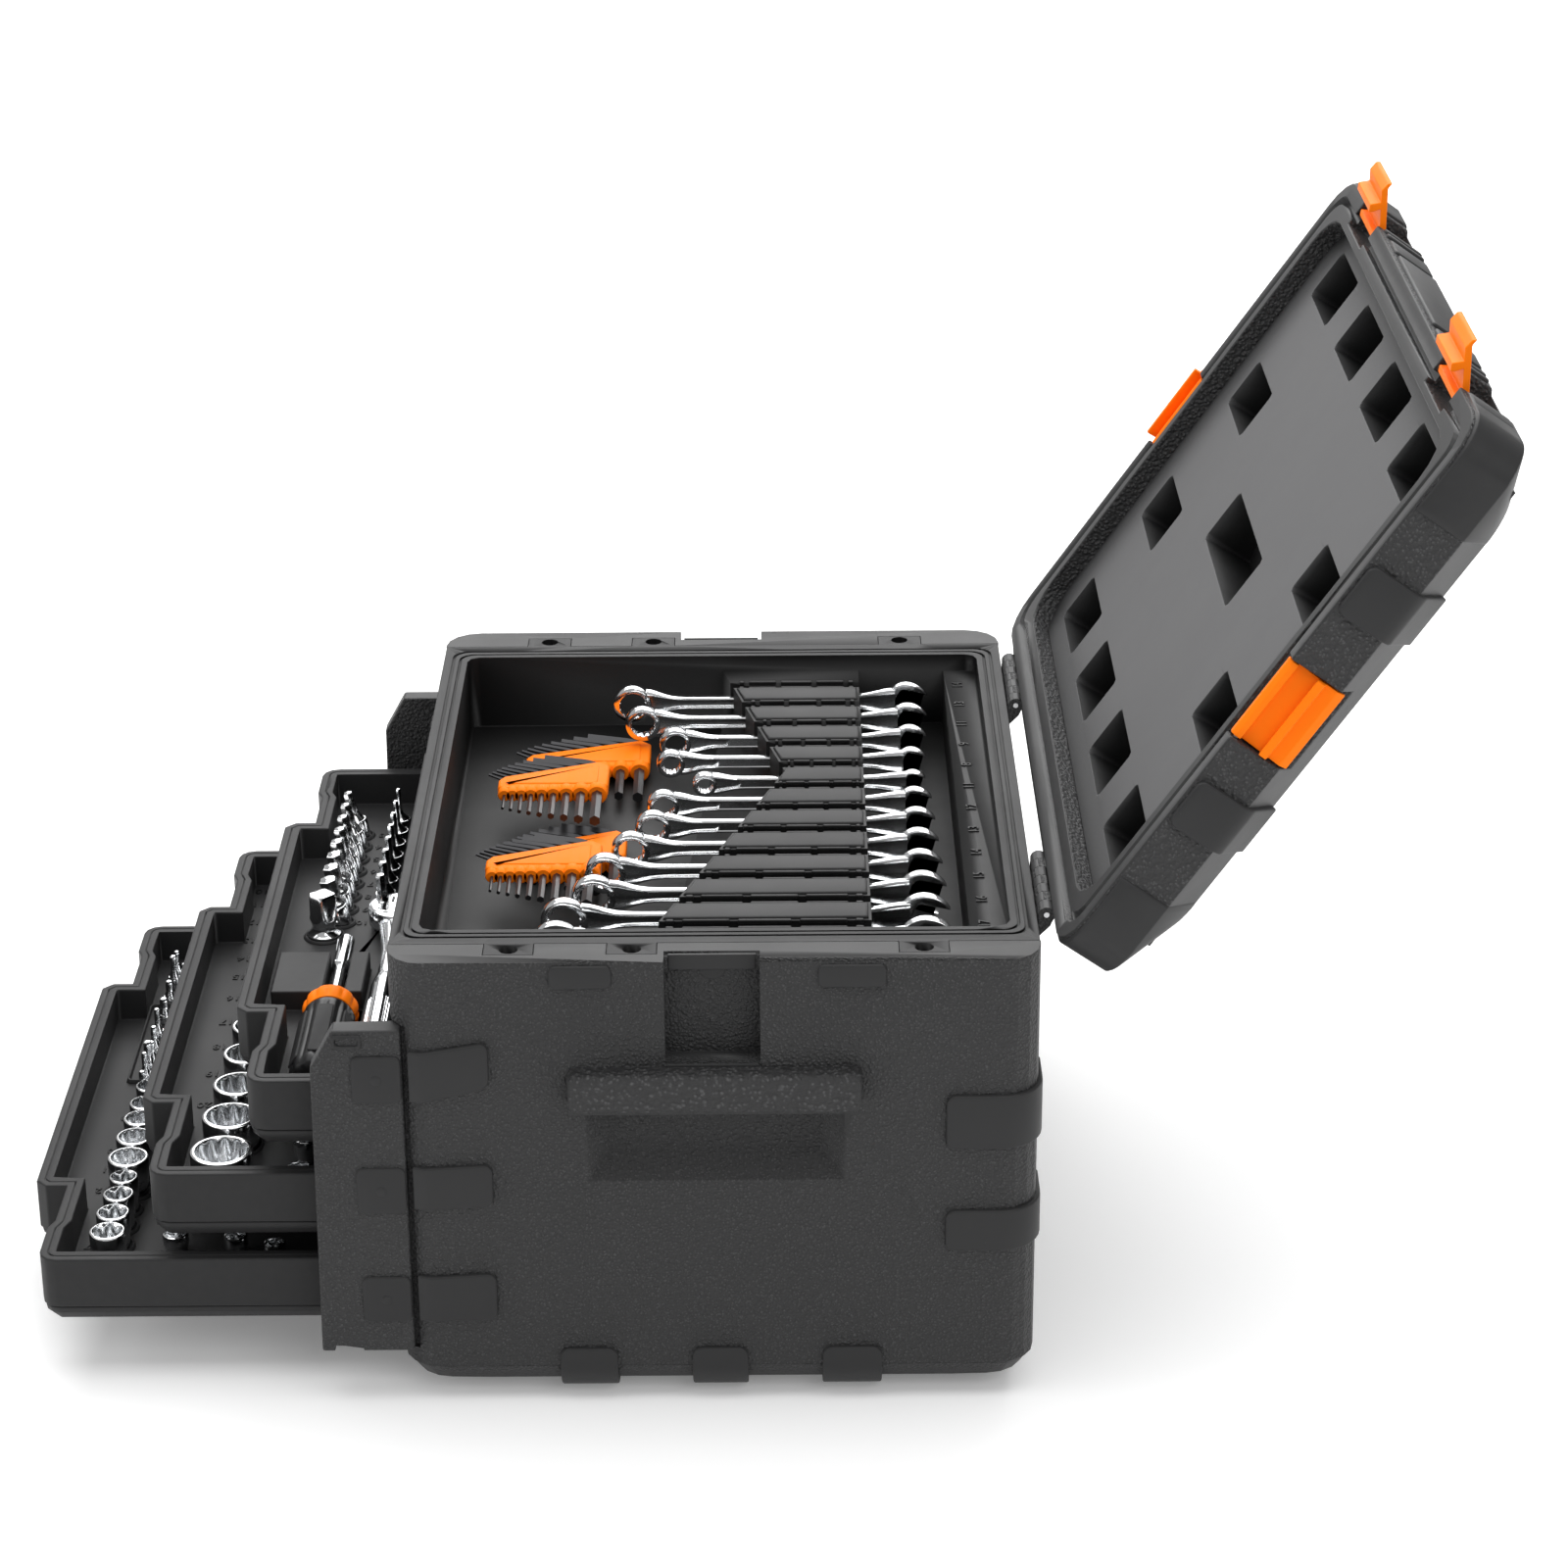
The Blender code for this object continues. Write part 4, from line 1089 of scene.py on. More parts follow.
@dataclass
class TopTray:
    """Lift-out tray: grooved flange, wrench rack with clip bars, label shelf and screws."""

    pitch: float = 30.0
    count: int = 12
    rack_top: float = 250.0
    rack_right: float = 82.0
    groove_half: float = 4.0
    bar_reach: float = 5.7
    bar_spans: tuple = (
        (0.02, 0.06, 2.2), (0.1, 0.33, 1.2), (0.37, 0.63, 2.0), (0.67, 0.9, 1.2), (0.94, 0.98, 2.2))
    left_edge: tuple = ((-190.0, 0.0), (-36.0, 37.0), (156.0, -28.0), (190.0, -40.0))
    label_y: float = 141.0
    labels: tuple = ("14", "13", "11", "9", "8", "11", "12", "13", "14", "15", "16", "17")

    def wrench_x(self) -> Array:
        """Places of the wrenches across the tray."""
        return (np.arange(self.count) - (self.count - 1) / 2) * self.pitch

    def grooves(self) -> list[Shell]:
        """Cutters for the two grooves round the flange."""
        top = span("top_tray")[1][2]
        made = []
        for half_x, half_y, wide in ((193.5, 157.5, 0.7), (198.0, 161.5, 0.9)):
            rows = [
                np.column_stack([rounded_rect(half_x + out, half_y + out, 9.0), np.full(24, height)])
                for out, height in ((-wide, top + 1), (-wide, top - 1.2), (wide, top - 1.2), (wide, top + 1))
            ]
            made.append(loft(np.stack(rows), closed=True))
        return made

    def bars(self) -> list[Shell]:
        """Clip bars along both lips of each wrench groove: knob, bar, wide bar, bar, knob."""
        edge_x, edge_y = np.array(self.left_edge).T
        made = []
        for x in self.wrench_x():
            start = float(np.interp(x, edge_x, edge_y)) + 3
            length = self.rack_right - 2 - start
            for side in (-1, 1):
                for low, high, reach in self.bar_spans:
                    half = (high - low) * length / 2
                    middle = start + (low + high) * length / 2
                    inner = self.groove_half + 0.1 - reach / 2
                    wide = (self.bar_reach - inner) / 2
                    bar = slab((wide, half, 1.9), min(0.9, half - 0.1, wide - 0.1), 0.6)
                    made.append(bar.placed(upright(x + side * (inner + wide), middle, self.rack_top - 1.2)))
        return made

    def ribs(self) -> list[Shell]:
        """Raised tops of the rack between the grooves, bevelled at both ends."""
        edge_x, edge_y = np.array(self.left_edge).T
        made = []
        half, end = self.pitch / 2 - self.bar_reach - 0.2, self.rack_right - 1.5
        for x in self.wrench_x()[:-1] + self.pitch / 2:
            left, right = (float(np.interp(x + d, edge_x, edge_y)) + 1.5 for d in (-half, half))
            outline = np.array([(x - half, left), (x + half, right), (x + half, end), (x - half, end)])
            made.append(pad(outline, self.rack_top - 3, self.rack_top + 1.4, 1.6))
        return made

    def numerals(self) -> list[Shell]:
        """Size numbers on the label shelf."""
        made = []
        for text, x in zip(self.labels, self.wrench_x()):
            turned_text = Place((x, self.label_y, 249.0), (-1, 0, 0), (0, -1, 0))
            made.append(lettering(text, 8.5, 0.6).placed(turned_text))
        return made

    def build(self) -> None:
        """The tray, its rack's bars and ribs, numerals and screws."""
        softened("top_tray", TRAY, 0.0, grooves=self.grooves())
        make_piece("rack_ribs", self.ribs(), TRAY, "case")
        make_piece("rack_bars", self.bars(), TRAY, "case")
        make_piece("tray_numerals", self.numerals(), MARKING, "case")
        for word, _ in SIDES:
            for number in (1, 2, 3):
                carried(f"tray_screw_{word}_{number}", STEEL)


WRENCH_SIZES = (14.3, 12.7, 11.1, 9.5, 8.0, 11.0, 12.0, 13.0, 14.0, 15.0, 16.0, 17.0)


@dataclass
class Wrench:
    """Combination wrench standing on edge in the rack: raised ring, waisted shank, hooked open jaw.

    It is built flat, with its own z through its thickness, and then turned on edge.
    """

    number: int
    size: float
    half_pitch: float = 15.0
    level: float = 239.0
    thick: float = 5.0
    jaw_y: float = 110.0
    ring_y: float = field(init=False)
    x: float = field(init=False)

    def __post_init__(self) -> None:
        """Read the wrench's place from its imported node."""
        low, high = span(f"wrench_{self.number:02d}")
        self.ring_y = float(low[1]) + self.size * 0.72 + 1.4
        self.x = round(float(low[0] + high[0]) / 2 / self.half_pitch) * self.half_pitch

    def ring(self) -> Shell:
        """Ring with a twelve-point bore, tilted up away from the shank."""
        outer, bore, edge = self.size * 0.72 + 1.3, self.size * 0.5, 1.3
        high = self.thick + 2.0
        rows = [
            (outer - edge, 0), (outer - 0.3, 0.5), (outer, edge), (outer, high - edge),
            (outer - 0.3, high - 0.5), (outer - edge, high), (bore * 1.14, high, 0), (bore, high - 0.8, 1),
            (bore, 0.8, 1), (bore * 1.14, 0, 0),
        ]
        tilt = math.radians(4)
        place = Place((0, self.ring_y, 0.3 - self.thick / 2), (1, 0, 0), (0, math.cos(tilt), -math.sin(tilt)),
                      (0, math.sin(tilt), math.cos(tilt)))
        return turned(rows, Star.TWELVE, 72, closed=True).placed(place)

    def shank(self) -> Shell:
        """Waisted bar with a shallow panel on top, rising in an S into the ring and the jaw."""
        start = self.ring_y + self.size * 0.6
        end = self.jaw_y - self.size * 0.45
        share = np.linspace(0, 1, 40)
        along = start + (end - start) * share
        neck = np.exp(-(share / 0.08) ** 2) + np.exp(-((1 - share) / 0.12) ** 2)
        width = 3.5 + self.size * (0.035 + 0.38 * neck)
        lift = 1.1 * np.exp(-(share / 0.09) ** 2) + 1.6 * np.exp(-((1 - share) / 0.1) ** 2)
        height = 2.3 + 0.5 * neck
        side = np.array([1.0, 0.92, 0.72, 0.62, 0.5])
        rise = np.array([0.0, 0.72, 1.0, 1.0, 0.84])
        quarter = np.column_stack([side, rise])
        section = np.concatenate([quarter, (quarter * [-1, 1])[:0:-1], -quarter, (quarter * [1, -1])[:0:-1]])
        path = np.column_stack([np.zeros(40), along, lift])
        return swept(section, path, (0, 0, 1), np.column_stack([width, height]))

    def jaw(self) -> Shell:
        """Open jaw: a disc with a slot of the wrench's size, turned 15 degrees, its tips drawn out."""
        radius, half = self.size * 0.84 + 0.5, self.size / 2
        mouth = math.asin(half / radius)
        turn = np.linspace(math.pi / 2 + mouth, 2.5 * math.pi - mouth, 30)
        reach = radius * (1 + 0.1 * np.exp(-((np.sin(turn) - 1) / 0.6) ** 2))
        disc = np.column_stack([np.cos(turn), np.sin(turn)]) * reach[:, None]
        root = np.linspace(0, math.pi, 9)
        slot = np.column_stack([half * np.cos(root), -self.size * 0.22 - 0.35 * half * np.sin(root)])
        outline = np.vstack([disc, slot])
        angle = math.radians(-15)
        c, s = math.cos(angle), math.sin(angle)
        turned_outline = outline @ np.array([[c, s], [-s, c]])
        return pad(turned_outline, 0.0, self.thick + 0.6, 1.1, both=True).placed(
            upright(0, self.jaw_y, 0.1 - self.thick / 2))

    def build(self) -> None:
        """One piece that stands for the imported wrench."""
        node = f"wrench_{self.number:02d}"
        on_edge = Place((self.x, 0, self.level), (0, 0, -1), (0, 1, 0), (1, 0, 0))
        parts = [part.placed(on_edge) for part in (self.ring(), self.shank(), self.jaw())]
        make_piece(f"{node}_forging", parts, CHROME, "case", [node])


@dataclass
class KeyHolder:
    """Tapered clip with a row of bent hex keys: long arms out of its scalloped edge."""

    number: int
    keys: int = 9
    smallest: float = 0.8
    largest: float = 2.9

    def outline(self) -> Array:
        """The clip's outline, anticlockwise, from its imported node's box."""
        low, high = span(f"key_holder_{self.number}")
        x, y, length = high[0] - 1, low[1] + 3, high[1] - low[1] - 3
        points = [(x - 3, y - 3), (x, y), (x + 1, y + length - 6), (x - 5, y + length), (x - 32, y + length),
                  (x - 38, y + length - 6), (x - 17, y), (x - 12, y - 3)]
        return np.array(points)

    def clip(self) -> list[Shell]:
        """Rounded clip, its raised inner panel, and a half collar over each key."""
        low, high = span(f"key_holder_{self.number}")
        outline = self.outline()
        made = [pad(outline, low[2], high[2], 1.8, both=True)]
        made.append(pad(inset(outline, 6.0), high[2] - 1, high[2] + 0.6, 0.5))
        for x, y, radius in self.places():
            rows = [(radius + 2.6, 0), (radius + 3.0, 1.0), (radius + 3.0, 6.0), (radius + 2.4, 7.0)]
            collar = turned(rows, sides=20)
            made.append(collar.placed(lying(x - 4.5, y, low[2] + 4.2)))
        return made

    def places(self) -> list[tuple[float, float, float]]:
        """Scalloped edge, Y and radius of each key: radii grow in even ratio."""
        low, high = span(f"key_holder_{self.number}")
        share = np.linspace(0, 1, self.keys)
        radius = self.smallest * (self.largest / self.smallest) ** share
        gaps = np.cumsum(np.append(0, radius[1:] + radius[:-1] + 1.9))
        y = low[1] + 4 + gaps / gaps[-1] * (high[1] - low[1] - 10)
        x = high[0] - 0.5 + 0 * y
        return list(zip(x.tolist(), y.tolist(), radius.tolist()))

    def hex_keys(self) -> list[Shell]:
        """Hexagonal bars: long arm, a bend three radii wide, and a short arm towards the drawers."""
        z = span(f"key_holder_{self.number}")[0][2] + 4.2
        made = []
        for index, (x, y, radius) in enumerate(self.places()):
            share = index / (self.keys - 1)
            back = x - 18 - 21 * share
            short_end = (back - 2, y - 10 - 22 * share, z + 3.5)
            corners = np.array([(x + 20 + 18 * share, y, z), (back, y, z + 0.2), short_end])
            path = rounded_path(corners, 3 + 2.2 * radius)
            straight = np.linspace(path[0], path[1], 4)[1:-1]
            path = np.vstack([path[:1], straight, path[1:]])
            made.append(swept(polygon(radius * 1.12, 6), path, (0, 0, 1)))
        return made

    def build(self) -> None:
        """The clip and its keys."""
        node = f"key_holder_{self.number}"
        make_piece(f"{node}_clip", self.clip(), ORANGE, "case", [node])
        make_piece(f"hex_keys_{self.number}", self.hex_keys(), OXIDE, "case", angle=25)


# ---------------------------------------------------------------- the drawers


@dataclass
class Drawer:
    """One drawer: upper tray with a groove round its rim, lower pan, and what stands in it."""

    word: str
    half_x: float = 205.0
    length: float = 317.0
    corner: float = 10.0
    lip_rows: tuple = ((2.6, 0), (1.9, 1.2), (1.3, 1.6), (0.7, 1.3), (0.5, 0))
    rim: float = field(init=False)
    front: float = field(init=False)
    floor: float = field(init=False)

    def __post_init__(self) -> None:
        """Read the drawer's place from its packed tray."""
        low, high = span(f"drawer_{self.word}_tray")
        self.rim, self.front = float(high[2]), float(low[1])
        self.floor = self.rim - 20.0

    @property
    def body(self) -> str:
        """Name of the drawer's body."""
        return f"drawer_{self.word}"

    def outline(self) -> Array:
        """The drawer's plan, anticlockwise: proud middle, finger steps, ears, round corners."""
        turn = np.linspace(-math.pi / 2, 0, 6)
        ear = [self.half_x - self.corner, 14.5 + self.corner]
        back = [self.half_x - self.corner, self.length - self.corner]
        right = np.vstack([
            [(118.5, 0), (124.5, 6), (124.5, 17.5), (162, 17.5), (170, 14.5)],
            ear + self.corner * np.column_stack([np.cos(turn), np.sin(turn)]),
            back + self.corner * np.column_stack([np.cos(turn + math.pi / 2), np.sin(turn + math.pi / 2)]),
        ])
        return np.vstack([right, right[::-1] * [-1, 1]]) + [0, self.front]

    def groove(self) -> Shell:
        """Cutter for the groove that follows the rim."""
        outer, inner = inset(self.outline(), 3.9), inset(self.outline(), 5.1)
        rows = [(outer, 1.0), (outer, -1.3), (inner, -1.3), (inner, 1.0)]
        return loft(np.stack([np.column_stack([plan, np.full(len(plan), self.rim + z)]) for plan, z in rows]),
                    closed=True)

    def lip(self, x: float, y: float, radius: float, floor: float) -> Shell:
        """Raised collar moulded round a standing tool."""
        rows = [(radius + out, height) for out, height in self.lip_rows]
        return turned(rows, sides=32, closed=True).placed(upright(x, y, floor))

    def numerals(self, places: Iterable[tuple[str, float, float]], floor: float, size: float = 7.5) -> Shell:
        """Raised size numbers on the drawer's floor, read from the carrying side."""
        return merged(lettering(text, size, 0.5).placed(Place((x, y, floor), (0, -1, 0), (1, 0, 0)))
                      for text, x, y in places)

    def shells(self) -> None:
        """Tray and pan."""
        softened(f"drawer_{self.word}_tray", DRAWER, 0.9, grooves=[self.groove()])
        softened(f"drawer_{self.word}_pan", DRAWER, 1.0)


def socket_shells(x: float, y: float, radius: float, floor: float, height: float, bore: Star,
                  sides: int = 72) -> list[Shell]:
    """A socket standing on its drive end: waisted body, bright lip, and a formed bore.

    Args:
        x: its place across.
        y: its place along.
        radius: outer radius at the lip.
        floor: height that it stands on.
        height: its height.
        bore: cross-section of the bore.
        sides: points round it.

    Returns:
        One closed shell in a list.
    """
    inner = radius * 0.76
    rows = [
        (radius * 0.7, 0), (radius * 0.86, 0.6), (radius * 0.9, 2.0), (radius * 0.9, height * 0.36),
        (radius * 0.93, height * 0.4), (radius, height * 0.46), (radius, height - 1.2),
        (radius - 0.35, height - 0.35), (radius - 1.1, height), (inner * 1.13, height),
        (inner * 1.06, height - 0.8, 0.4), (inner, height - 2.2, 1), (inner, height * 0.42, 1),
        (inner * 0.6, height * 0.4), (inner * 0.5, height * 0.3), (0.4, height * 0.3),
    ]
    return [turned(rows, bore, sides).placed(upright(x, y, floor))]


def bit_socket(x: float, y: float, floor: float, radius: float, bit: float, tall: float, tip: Star,
               lean: float = 0.0) -> list[Shell]:
    """A bit in its socket base: stepped base, hexagonal or shaped shaft, chamfered tip.

    Args:
        x: its place across.
        y: its place along.
        floor: height that it stands on.
        radius: radius of the base.
        bit: radius of the bit.
        tall: height of the whole.
        tip: cross-section of the bit.
        lean: how far the top leans towards the drawer's front, in millimetres.

    Returns:
        One closed shell in a list.
    """
    rows = [
        (radius * 0.8, 0), (radius, 0.8), (radius, tall * 0.34), (radius * 0.92, tall * 0.37),
        (radius * 0.85, tall * 0.37), (bit * 1.5, tall * 0.47), (bit * 1.05, tall * 0.55, 0.5),
        (bit, tall * 0.6, 1), (bit, tall - 1.3, 1), (bit * 0.8, tall - 0.3, 1), (bit * 0.5, tall), (0.2, tall),
    ]
    slope = math.atan2(lean, tall)
    place = Place((x, y, floor), (1, 0, 0), (0, math.cos(slope), math.sin(slope)),
                  (0, -math.sin(slope), math.cos(slope)))
    return [turned(rows, tip, 24).placed(place)]


@dataclass
class TopDrawer(Drawer):
    """Bits in two rows, the screwdriver and the ratchet."""

    word: str = "top"
    first_x: float = -149.0
    pitch: float = 17.4
    labels: tuple = ("3", "4", "5", "6", "7", "8", "9", "10")

    def places(self) -> Array:
        """Places of the bits across."""
        return self.first_x + self.pitch * np.arange(8)

    def bits(self) -> list[Shell]:
        """Front row of leaning driver bits, back row of slim ones, and the adapter."""
        made = []
        for index, x in enumerate(self.places()):
            made += bit_socket(x, -219.0, self.floor, 6.6, 2.6 + 0.28 * index, 29.5, Star.HEX, lean=6.5)
            made += bit_socket(x, -193.5, self.floor, 6.2, 1.3 + 0.18 * index, 31.0, Star.HEX, lean=1.5)
        rows = [(8.6, 0), (9.4, 0.8), (9.4, 2.6), (7.2, 4.6), (6.4, 7.0), (7.4, 10.0), (7.2, 12.0, 0.4),
                (6.0, 14.0, 1), (6.0, 25.0, 1), (5.4, 27.0, 1), (3.0, 27.6, 1), (0.3, 27.6)]
        adapter_x = self.first_x + 8 * self.pitch
        made.append(turned(rows, Star.SQUARE, 48).placed(upright(adapter_x, -226.5, self.floor)))
        return made

    def lips(self) -> list[Shell]:
        """Collars round the bits, and a ridge behind the rows."""
        made = [self.lip(x, -219.0, 6.6, self.floor) for x in self.places()]
        made += [self.lip(x, -193.5, 6.2, self.floor) for x in self.places()]
        made.append(self.lip(self.first_x + 8 * self.pitch, -226.5, 9.4, self.floor))
        marks = [(text, x, -206.5) for text, x in zip(self.labels, self.places())]
        made.append(self.numerals(marks, self.floor))
        return made

    def driver(self) -> None:
        """Screwdriver: fluted handle with inset panels, scalloped collar, shaft and ferrule."""
        low, high = span("screwdriver_handle")
        start, end = 106.0, float(high[0])
        y, z = float(low[1] + high[1]) / 2, float(low[2] + high[2]) / 2
        place = lying(0, y, z)
        long = end - start
        rows = [(6.2, start - 18), (6.2, start - 0.5), (11.5, start - 0.2), (14.2, start + 1.0),
                (14.9, start + 3, 0.6)]
        rows += [
            (14.9 - 0.5 * math.sin(math.pi * share), start + long * share, 1.0)
            for share in np.linspace(0.08, 0.9, 12)
        ]
        rows += [(14.2, end - 4, 0.6), (12.6, end - 1.6), (9.5, end - 0.4), (0.4, end)]
        handle = turned(rows, Star.SCALLOP, 96).placed(place)
        grips = []
        for k in range(6):
            angle = math.pi / 2 + k * math.pi / 3
            radial = (0, math.cos(angle), math.sin(angle))
            tangent = (0, -math.sin(angle), math.cos(angle))
            centre = np.array([start + long * 0.5, y, z]) + 13.7 * np.array(radial)
            panel = slab((long * 0.36, 4.6, 1.5), 1.6, 0.5)
            grips.append(panel.placed(Place(centre, (1, 0, 0), tangent, radial)))
        make_piece("screwdriver_grip", [handle], HANDLE, self.body, ["screwdriver_handle"])
        make_piece("screwdriver_grip_panels", grips, RUBBER, self.body)
        c_low, c_high = span("screwdriver_collar")
        a, b = float(c_low[0]), float(c_high[0])
        collar = [(6.5, a), (10.5, a + 0.2), (13.0, a + 1.6), (14.3, a + 4.0, 0.6), (15.4, a + 7.0, 1.0),
                  (15.6, a + 10.5, 1.0), (15.2, a + 13.0, 1.0), (14.6, a + 15.0, 0.5), (13.8, b - 0.6),
                  (6.5, b - 0.1)]
        ring = turned(collar, Star.SCALLOP, 96, closed=True).placed(place)
        make_piece("screwdriver_turning_collar", [ring], ORANGE, "screwdriver_collar", ["screwdriver_collar"])
        tip = float(span("screwdriver_shaft")[0][0])
        shaft = [(2.6, tip + 8), (3.2, tip + 7, 1), (3.3, tip + 0.6, 1), (3.9, tip), (4.6, tip + 0.1),
                 (5.0, tip + 0.6), (5.0, tip + 32), (4.2, tip + 33), (4.9, tip + 33.6), (4.9, tip + 35),
                 (3.5, tip + 36), (3.5, 99), (2, 99.4)]
        make_piece("screwdriver_blade", [turned(shaft, Star.HEX, 48).placed(place)], CHROME, self.body,
                   ["screwdriver_shaft"])

    def ratchet(self) -> None:
        """Ratchet: pear-shaped head with a cover disc and lever, waisted neck, knurled handle."""
        _, high = span("ratchet_handle")
        d_low, d_high = span("ratchet_drive")
        x, y = float(d_low[0] + d_high[0]) / 2, float(d_low[1] + d_high[1]) / 2
        z = float(high[2]) - 7.0
        rows = [(15.5, -5), (16.6, -4.2), (17, -3), (17, 4.6), (16.4, 6.2), (15.2, 6.9), (12.6, 7.0),
                (12.2, 6.6), (11.8, 7.2), (0.4, 7.2)]
        head = turned(rows, sides=64).placed(upright(x, y, z))
        share = np.linspace(0, 1, 40)
        stations = [0, 0.12, 0.22, 0.38, 0.42, 0.46, 0.96, 1]
        width = np.interp(share, stations, [11, 7.6, 5.4, 5.2, 6.6, 7.2, 7.2, 5.6])
        thick = np.interp(share, stations, [5.4, 5.2, 5.0, 5.0, 6.4, 7.0, 7.0, 5.4])
        path = np.column_stack([x + 9 + (float(high[0]) - x - 9) * share, np.full(40, y), np.full(40, z)])
        angle = np.linspace(0, 2 * math.pi, 36, endpoint=False)
        circle = np.column_stack([np.cos(angle), np.sin(angle)])
        bar = swept(circle, path, (0, 0, 1), np.column_stack([width, thick]))
        slots = [
            slab((3.4, 0.8, 0.5), 0.7, 0.2).placed(upright(x - 5 + 9 * step, y - 3 + 6 * step, z + 7.1))
            for step in (0, 1)
        ]
        knurl = turned([(7.3, 95, 1), (7.45, 98, 1), (7.45, 168, 1), (7.3, 171, 1)], Star.KNURL, 120).placed(
            lying(0, y, z))
        make_piece("ratchet_wrench", [head, bar, knurl], CHROME, self.body, ["ratchet_handle"])
        make_piece("ratchet_lever", slots, OXIDE, self.body)
        boss = [(7.2, -7.4), (7.6, -7), (7.6, -5.6), (7.2, -5.3)]
        drive = [turned(boss, sides=40).placed(upright(x, y, z))]
        square = pad(rounded_rect(4.7, 4.7, 0.8), float(d_low[2]) - z + 0.1, -6.0, 0.5, both=True)
        make_piece("ratchet_square_drive", drive + [square.placed(upright(x, y, z))], CHROME, "ratchet_drive",
                   ["ratchet_drive"])

    def build(self) -> None:
        """The drawer and its tools."""
        self.shells()
        make_piece("driver_bits", self.bits(), CHROME, self.body)
        make_piece("bit_collars", self.lips(), DRAWER, self.body)
        self.driver()
        self.ratchet()


@dataclass
class MiddleDrawer(Drawer):
    """The row of large sockets, with smaller ones behind them in the row."""

    word: str = "middle"
    more: tuple = ((-2.5, 11.6), (-31.5, 10.8), (-58.5, 10.0), (-84.0, 9.4), (-108.5, 8.9), (-132.0, 8.5),
                   (-154.5, 8.1), (-176.5, 7.8))
    labels: tuple = ("20", "19", "18", "17", "16", "15", "14", "13", "12", "11", "10")
    label_x: tuple = (90.7, 54.0, 21.0, -10.0, -41.0, -68.5, -93.0, -118.0, -143.0, -168.0, -187.0)

    def build(self) -> None:
        """The drawer, its sockets and their numbers."""
        self.shells()
        collars = []
        for number in range(1, 6):
            low, high = span(f"socket_{number}")
            x, y = (low[:2] + high[:2]) / 2
            radius = float(high[0] - low[0]) / 2
            base, tall = float(low[2]) + 0.1, float(high[2] - low[2]) - 0.1
            make_piece(f"socket_{number}_chromed", socket_shells(x, y, radius, base, tall, Star.TWELVE, 96),
                       CHROME, self.body, [f"socket_{number}"])
            collars.append(self.lip(x, y, radius, self.floor - 0.2))
        row = float(y)
        small = [shell for x, radius in self.more
                 for shell in socket_shells(x, row, radius, self.floor, 19.0, Star.TWELVE)]
        small += socket_shells(153.0, row + 43.0, 7.4, self.floor, 14.0, Star.HEX, 48)
        small += socket_shells(182.0, row + 42.0, 6.6, self.floor, 12.0, Star.HEX, 48)
        make_piece("small_sockets", small, CHROME, self.body)
        collars += [self.lip(x, row, radius, self.floor) for x, radius in self.more]
        marks = [(text, x, self.front + 29.0) for text, x in zip(self.labels, self.label_x)]
        make_piece("socket_collars", collars, DRAWER, self.body)
        make_piece("socket_numerals", [self.numerals(marks, self.floor, 8.5)], MARKING, self.body)


@dataclass
class BottomDrawer(Drawer):
    """Sockets, star sockets and small bits along the front."""

    word: str = "bottom"
    sockets: tuple = ((95.2, 11.5), (71.6, 10.4), (49.8, 9.4), (31.5, 8.6), (10.6, 8.0))
    stars: tuple = ((117.5, 8.0), (136.6, 8.6), (156.9, 9.2), (177.0, 9.8))
    bits: tuple = (-171.0, -157.0, -135.0, -111.0, -85.0, -70.0, -57.0, -45.0, -32.0, -20.0)
    low_sockets: tuple = ((161.0, -295.0, 7.0), (163.5, -262.0, 6.4), (172.0, -240.0, 6.0))

    def build(self) -> None:
        """The drawer and everything that stands in it."""
        self.shells()
        row = self.front + 47.2
        standing = [shell for x, radius in self.sockets
                    for shell in socket_shells(x, row, radius, self.floor, 22.0, Star.TWELVE)]
        standing += [shell for x, radius in self.stars
                     for shell in socket_shells(x, row + 0.8, radius, self.floor, 22.0, Star.LOBES)]
        standing += [shell for x, y, radius in self.low_sockets
                     for shell in socket_shells(x, y, radius, self.floor, 11.0, Star.HEX, 48)]
        make_piece("standing_sockets", standing, CHROME, self.body)
        small = []
        for index, x in enumerate(self.bits):
            tall = 19.0 + 4.0 * math.sin(1.9 * index)
            front_bit, rear_bit = 1.5 + 0.2 * (index % 4), 1.6 + 0.15 * (index % 3)
            small += bit_socket(x, self.front + 37.7, self.floor, 3.6, front_bit, tall, Star.HEX)
            small += bit_socket(x + 7.0, self.front + 45.5, self.floor, 3.6, rear_bit, tall - 2, Star.LOBES)
        make_piece("small_bits", small, CHROME, self.body)
        collars = [self.lip(x, row, radius, self.floor) for x, radius in self.sockets + self.stars]
        rim = [
            np.column_stack([rounded_rect(48 + out, 13 + out, 3), np.full(24, height)])
            for out, height in ((2.4, 0), (1.6, 2.2), (0.8, 2.2), (0, 0))
        ]
        collars.append(loft(np.stack(rim), closed=True).placed(upright(-82.5, self.front + 41, self.floor)))
        make_piece("bit_rack", collars, DRAWER, self.body)
        marks = [(str(8 + i), x, self.front + 31.0) for i, (x, _) in enumerate(self.sockets[::-1])]
        marks += [(f"{5 + i}", x, self.front + 33.0) for i, (x, _) in enumerate(self.stars)]
        make_piece("bit_numerals", [self.numerals(marks, self.floor)], MARKING, self.body)


# ---------------------------------------------------------------- the lid


